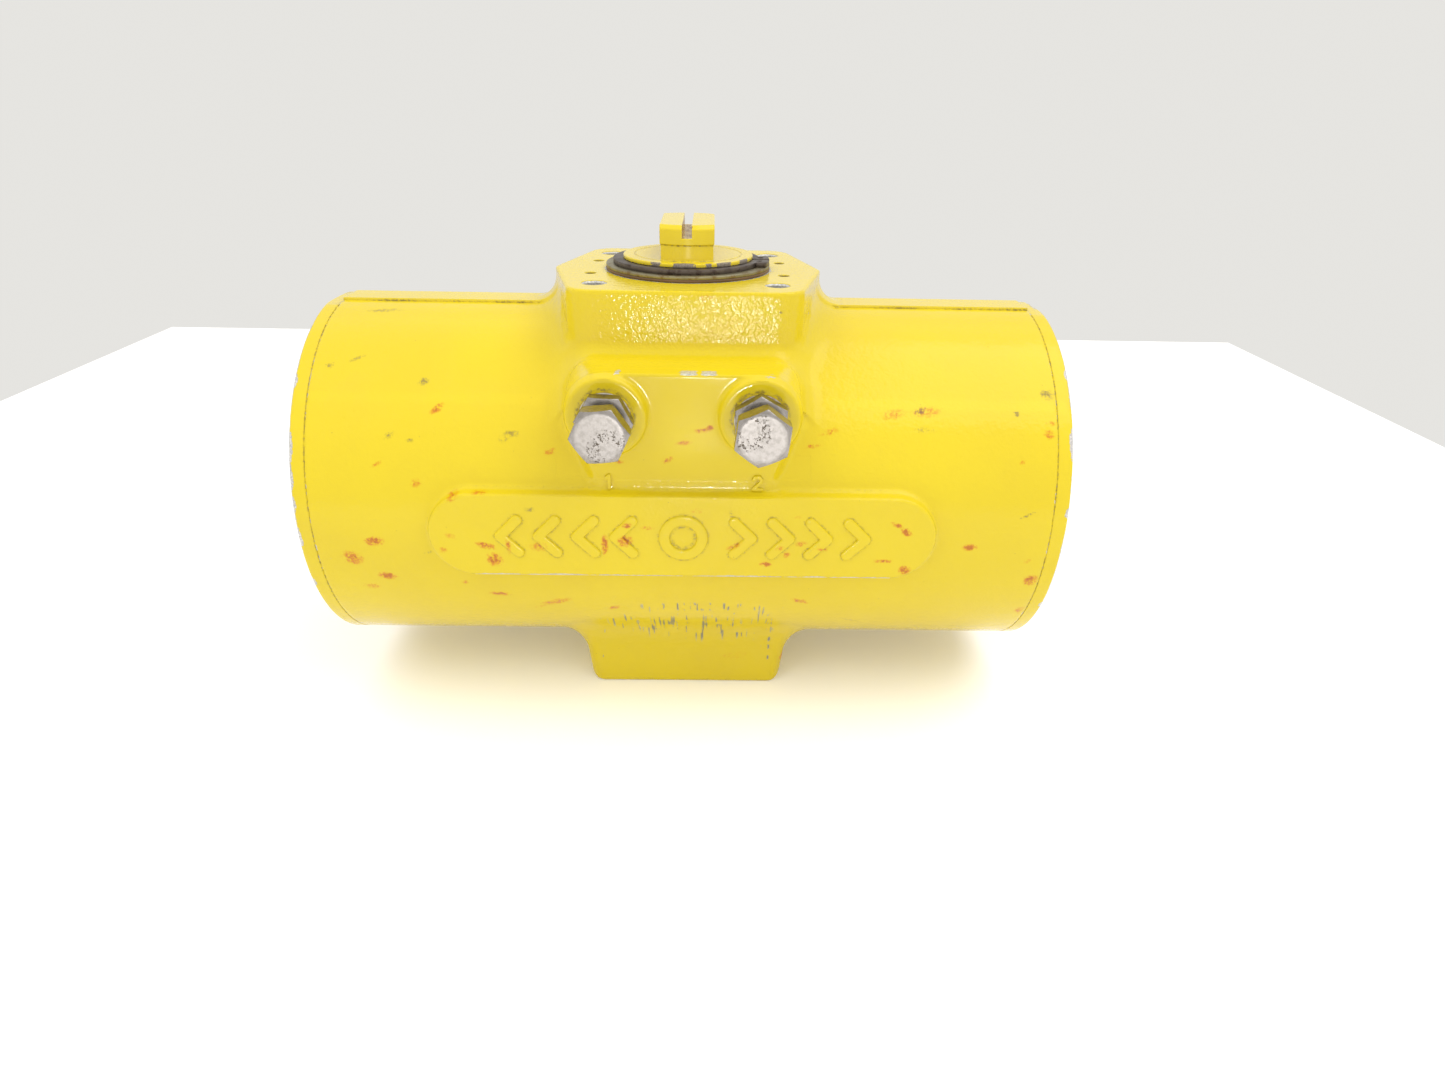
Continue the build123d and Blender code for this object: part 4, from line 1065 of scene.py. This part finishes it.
# the rest of the pinion is the CAD's own shape, cut off inside the painted end
lower = frame["nodes"]["pinion"].data.copy()
lower.name = "pinion_lower"
with edited(lower) as working:
    weld(working, CAD_WELD)
    geometry = working.verts[:] + working.edges[:] + working.faces[:]
    cut_height = Vector((0, 0, (AXIS + DRIVE_FOOT + 0.4) * MM))
    half = bmesh.ops.bisect_plane(
        working, geom=geometry, plane_co=cut_height, plane_no=(0, 0, 1), clear_outer=True
    )
    rim = [e for e in half["geom_cut"] if isinstance(e, bmesh.types.BMEdge)]
    bmesh.ops.holes_fill(working, edges=rim)
    dissolve_flat(working)
pinion_steel = steel("turned_pinion_steel", (0.44, 0.43, 0.42), 0.30)
shaft = place_piece("pinion_shaft", lower, pinion_steel, "pinion")
round_edges(shaft, 0.3, 35)
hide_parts("pinion")

circlip = cad_copy("circlip", "circlip_ring", dark_steel, "pinion", 0.12)
washer = cad_copy("thrust_washer", "thrust_washer_ring", olive_steel, "pinion", 0.2)
bearing = cad_copy("thrust_bearing", "thrust_bearing_ring", brown_plastic, "housing", 0.35)


# ------------------------------------------------------------ stop screws, nuts and washers


HEX_CORNER = HEX_R / math.cos(math.pi / 6)
HEAD_HEIGHT = 7.5
THREAD_PITCH, THREAD_MAJOR, THREAD_MINOR = 1.75, 5.9, 4.95
NUT_BORE = 6.02
HEX_TURN = {"left": math.radians(5), "right": math.radians(23)}
NUT_TURN = {"left": math.radians(-2), "right": math.radians(31)}


def local_frame(turn, side):
    """A fastener's axes and origin: w out of the front, u and v turned by its wrench angle."""
    c, s = math.cos(turn), math.sin(turn)
    return np.array([(c, 0, s), (-s, 0, c), (0, -1, 0)]), np.array((side * STOP_X, 0, STOP_Z))


def ring(points, radii, w):
    """Adds a ring of points and returns the index of its first."""
    start = len(points)
    angles = np.arange(HEX_SEGMENTS) * 2 * math.pi / HEX_SEGMENTS
    radii = np.broadcast_to(radii, HEX_SEGMENTS)
    points += [(r * math.cos(a), r * math.sin(a), w) for a, r in zip(angles, radii)]
    return start


def bridge(faces, first, second):
    """Adds the faces between two rings."""
    for i in range(HEX_SEGMENTS):
        j = (i + 1) % HEX_SEGMENTS
        faces.append((first + i, first + j, second + j, second + i))


def hex_solid(layers):
    """Hexagonal rings along w, each no wider than its layer's limit, with the faces between them."""
    angles = np.arange(HEX_SEGMENTS) * 2 * math.pi / HEX_SEGMENTS
    hexagon = HEX_R / np.cos(np.abs(angles % (math.pi / 3) - math.pi / 6))
    points, faces = [], []
    starts = [ring(points, np.minimum(hexagon, limit), w) for w, limit in layers]
    for first, second in zip(starts, starts[1:]):
        bridge(faces, first, second)
    return points, faces, starts[-1]


def corner_cone(flat, drop, inset, steps):
    """Layers of a 30 degree cone that turns the corners off, from full corners down to a flat face."""
    for i in range(steps + 1):
        t = i / steps
        yield flat - drop * (1 - t), HEX_CORNER - (HEX_CORNER - HEX_R + inset) * t


def cap_fan(points, faces, start, w, rings):
    """Closes a ring towards the axis with concentric rings."""
    outer = np.array(points[start:start + HEX_SEGMENTS])
    previous = start
    for k in range(1, rings + 1):
        here = len(points)
        points += [(u * (1 - k / rings), v * (1 - k / rings), w) for u, v, _ in outer]
        bridge(faces, previous, here)
        previous = here


def screw_mesh(front, under_head, tip):
    """Hex head with a turned corner chamfer, a rolled helical thread and a chamfered tip."""
    head = [(under_head + up, HEX_CORNER - inset) for up, inset in ((0, 0.5), (0.15, 0.25), (0.4, 0))]
    head += [*corner_cone(front, 1.0, 0.45, 7), (front + 0.10, HEX_R - 1.0)]
    points, faces, last = hex_solid(head)
    cap_fan(points, faces, last, front + 0.05, 8)
    previous = ring(points, THREAD_MAJOR, under_head)
    bridge(faces, previous, 0)
    length = under_head - tip
    rows = int(length / (THREAD_PITCH / 8))
    deep = THREAD_MAJOR - THREAD_MINOR
    turns = np.arange(HEX_SEGMENTS) / HEX_SEGMENTS
    for k in range(1, rows + 1):
        w = under_head - length * k / rows
        fade = min(1.0, max(0.0, (under_head - w - 0.6) / 1.2))
        end = min(1.0, max(0.0, (w - tip) / 1.4))
        phase = (w / THREAD_PITCH - turns) % 1.0
        groove = np.clip(1.55 - np.abs(phase - 0.5) * 4.4, 0, 1)
        radii = np.minimum(THREAD_MAJOR - deep * groove * fade, THREAD_MINOR + 0.15 + deep * end)
        here = ring(points, radii, w)
        bridge(faces, here, previous)
        previous = here
    cap_fan(points, faces, previous, tip, 3)
    return points, faces


def nut_mesh(front, back):
    """Hex nut chamfered on both faces, with a bevelled bore."""
    behind = [(back + front - w, limit) for w, limit in corner_cone(front, 0.9, 0.4, 5)]
    points, faces, last = hex_solid(behind[::-1] + [*corner_cone(front, 0.9, 0.4, 5)])
    mouth = NUT_BORE + 0.7
    bore = ((mouth, front), (NUT_BORE, front - 0.7), (NUT_BORE, back + 0.7), (mouth, back))
    chain = [last, *(ring(points, radius, w) for radius, w in bore), 0]
    for first, second in zip(chain, chain[1:]):
        bridge(faces, first, second)
    return points, faces


def fastener(name, node, mesh, turn, side):
    """A stainless screw or nut in place of a CAD node, with its own coordinates kept for the material."""
    points, faces = mesh
    axes, origin = local_frame(turn, side)
    piece = make_piece(name, np.array(points) @ axes + origin, faces, stainless, node, 28)
    with edited(piece.data) as working:
        weld(working, WELD)
        outward(working)
    local = (points_mm(piece.data) - origin) @ axes.T
    attribute = piece.data.attributes.new("local", "FLOAT_VECTOR", "POINT")
    shifted = local - np.array((side * -3.0, side * 5.0, local[:, 2].max()))
    attribute.data.foreach_set("vector", shifted.astype(np.float32).ravel())
    radius = np.hypot(local[:, 0], local[:, 1])
    # painted shade: each nut's flats darken within 1.4 mm of its back face, where it sits on the washer
    store(piece.data, "dirt_and_shade", faded(local[:, 2] - local[:, 2].min(), 1.4) * (radius > 6.5) * 0.8)
    piece.data.set_sharp_from_angle(angle=math.radians(28))
    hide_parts(node)


for name, side in SIDES.items():
    low, high = SCREW[name]
    screw = screw_mesh(-low.y - 0.1, -low.y - HEAD_HEIGHT, -high.y)
    fastener(f"stop_screw_body_{name}", f"stop_screw_{name}", screw, HEX_TURN[name], side)
    low, high = NUT[name]
    fastener(f"lock_nut_body_{name}", f"lock_nut_{name}", nut_mesh(-low.y, -high.y), NUT_TURN[name], side)
    node = f"stop_washer_{name}"
    washer_ring = cad_copy(node, f"stop_washer_ring_{name}", washer_bright, node, 0.2)


# ------------------------------------------------------------ pieces kept as the CAD has them

kept = {"gallery_plug": aluminium}
for end in ("top", "bottom"):
    kept |= {f"pinion_{end}_bearing": black_plastic, f"pinion_{end}_seal": rubber}
for name in SIDES:
    kept |= {f"end_cap_key_{name}": spring_steel, f"end_cap_seal_{name}": rubber, f"piston_{name}": aluminium,
             f"piston_seal_{name}": rubber, f"piston_guide_band_{name}": black_plastic,
             f"rack_guide_pad_{name}": black_plastic, f"stop_seal_{name}": rubber}
for node, material in kept.items():
    mesh = frame["nodes"][node].data
    mesh.materials.clear()
    mesh.materials.append(material)


# ------------------------------------------------------------ floor, light and camera

LEFT, RIGHT, NEAR, FAR, THICK = -0.607, 0.616, -1.2, 0.63, 0.03
outline = ((LEFT, NEAR), (RIGHT, NEAR), (RIGHT, FAR), (LEFT, FAR))
corners = [(x, y, z) for z in (0, -THICK) for x, y in outline]
sides = [(i, i + 4, (i + 1) % 4 + 4, (i + 1) % 4) for i in range(4)]
floor_mesh = bpy.data.meshes.new("floor")
floor_mesh.from_pydata(corners, [], [(0, 1, 2, 3), (7, 6, 5, 4), *sides])
s = Shader("white_table")
table = s.finish((0.93, 0.925, 0.92), 0.5, 0.0, s.bump(s.noise(300, 2), 0.00003),
                 Emission_Color=(1, 1, 1, 1), Emission_Strength=0.115)
floor_mesh.materials.append(table)
floor = linked("floor", floor_mesh)

wall_mesh = bpy.data.meshes.new("backdrop")
wall_mesh.from_pydata([(-9, 3, -3), (9, 3, -3), (9, 3, 3.5), (-9, 3, 3.5)], [], [(0, 1, 2, 3)])
s = Shader("pale_wall")
plain = s.finish((0.0, 0.0, 0.0), 1.0, 0.0, s.bump(s.noise(2, 2), 0.001),
                 Emission_Color=(0.79, 0.78, 0.75, 1), Emission_Strength=1.0, IOR=1.0)
wall_mesh.materials.append(plain)
wall = linked("backdrop", wall_mesh)

world = bpy.data.worlds.new("studio")
bpy.context.scene.world = world
world.use_nodes = True
background = world.node_tree.nodes["Background"].inputs
background["Color"].default_value = (0.76, 0.745, 0.716, 1)
background["Strength"].default_value = 1.42


def area_light(name, place, aim, size, power):
    """A rectangular lamp at a place, turned to an aim, hidden from the camera."""
    lamp = bpy.data.lights.new(name, "AREA")
    lamp.shape = "RECTANGLE"
    lamp.size, lamp.size_y = size
    lamp.energy = power
    obj = linked(name, lamp)
    obj.location = place
    obj.rotation_mode = "QUATERNION"
    obj.rotation_quaternion = (Vector(aim) - Vector(place)).to_track_quat("-Z", "Y")
    obj.visible_camera = False
    return obj


# four overlapping lamps on the right, whose front ends are staggered so that the highlight's lower edge fades
OVERHEAD_X, OVERHEAD_Z, OVERHEAD_REAR, OVERHEAD_WIDTH, WATTS_PER_METRE = 0.95, 1.5, 0.50, 1.34, 4.4
for step, overhead_front in enumerate((-0.45, -0.72, -0.97, -1.20)):
    length = OVERHEAD_REAR - overhead_front
    middle = (OVERHEAD_REAR + overhead_front) / 2
    area_light(f"overhead_right_{step}", (OVERHEAD_X, middle, OVERHEAD_Z), (OVERHEAD_X, middle, 0),
               (OVERHEAD_WIDTH, length), WATTS_PER_METRE * length)
# soft light from the left that adds no highlight, and a small low lamp that only sparkles on the neck
fill_left = area_light("fill_left", (-0.8, -0.5, 1.3), (-0.1, 0, 0.1), (1.2, 1.2), 7)
fill_left.visible_glossy = False
low_front = area_light("low_front", (0.012, -0.56, 0.060), (0.010, -0.051, 0.174), (0.055, 0.024), 0.42)
low_front.visible_diffuse = False

CAMERA_PLACE = (0.009584, -0.392011, 0.250148)
YAW, PITCH, ROLL = -0.019, -0.4697, -0.0195
camera_data = bpy.data.cameras.new("camera")
camera_data.sensor_width = 36.0
camera_data.lens = 22.03
camera_data.clip_start, camera_data.clip_end = 0.01, 20.0
camera = linked("camera", camera_data)
aim = Matrix.Rotation(YAW, 3, "Z") @ Matrix.Rotation(PITCH, 3, "X") @ Matrix.Rotation(ROLL, 3, "Y")
right, forward, up = aim.col
turned = Matrix((right, up, -forward)).transposed().to_4x4()
camera.matrix_world = Matrix.Translation(CAMERA_PLACE) @ turned
bpy.context.scene.camera = camera

view = bpy.context.scene.view_settings
view.view_transform, view.look, view.exposure, view.gamma = "Standard", "None", 0.0, 1.0
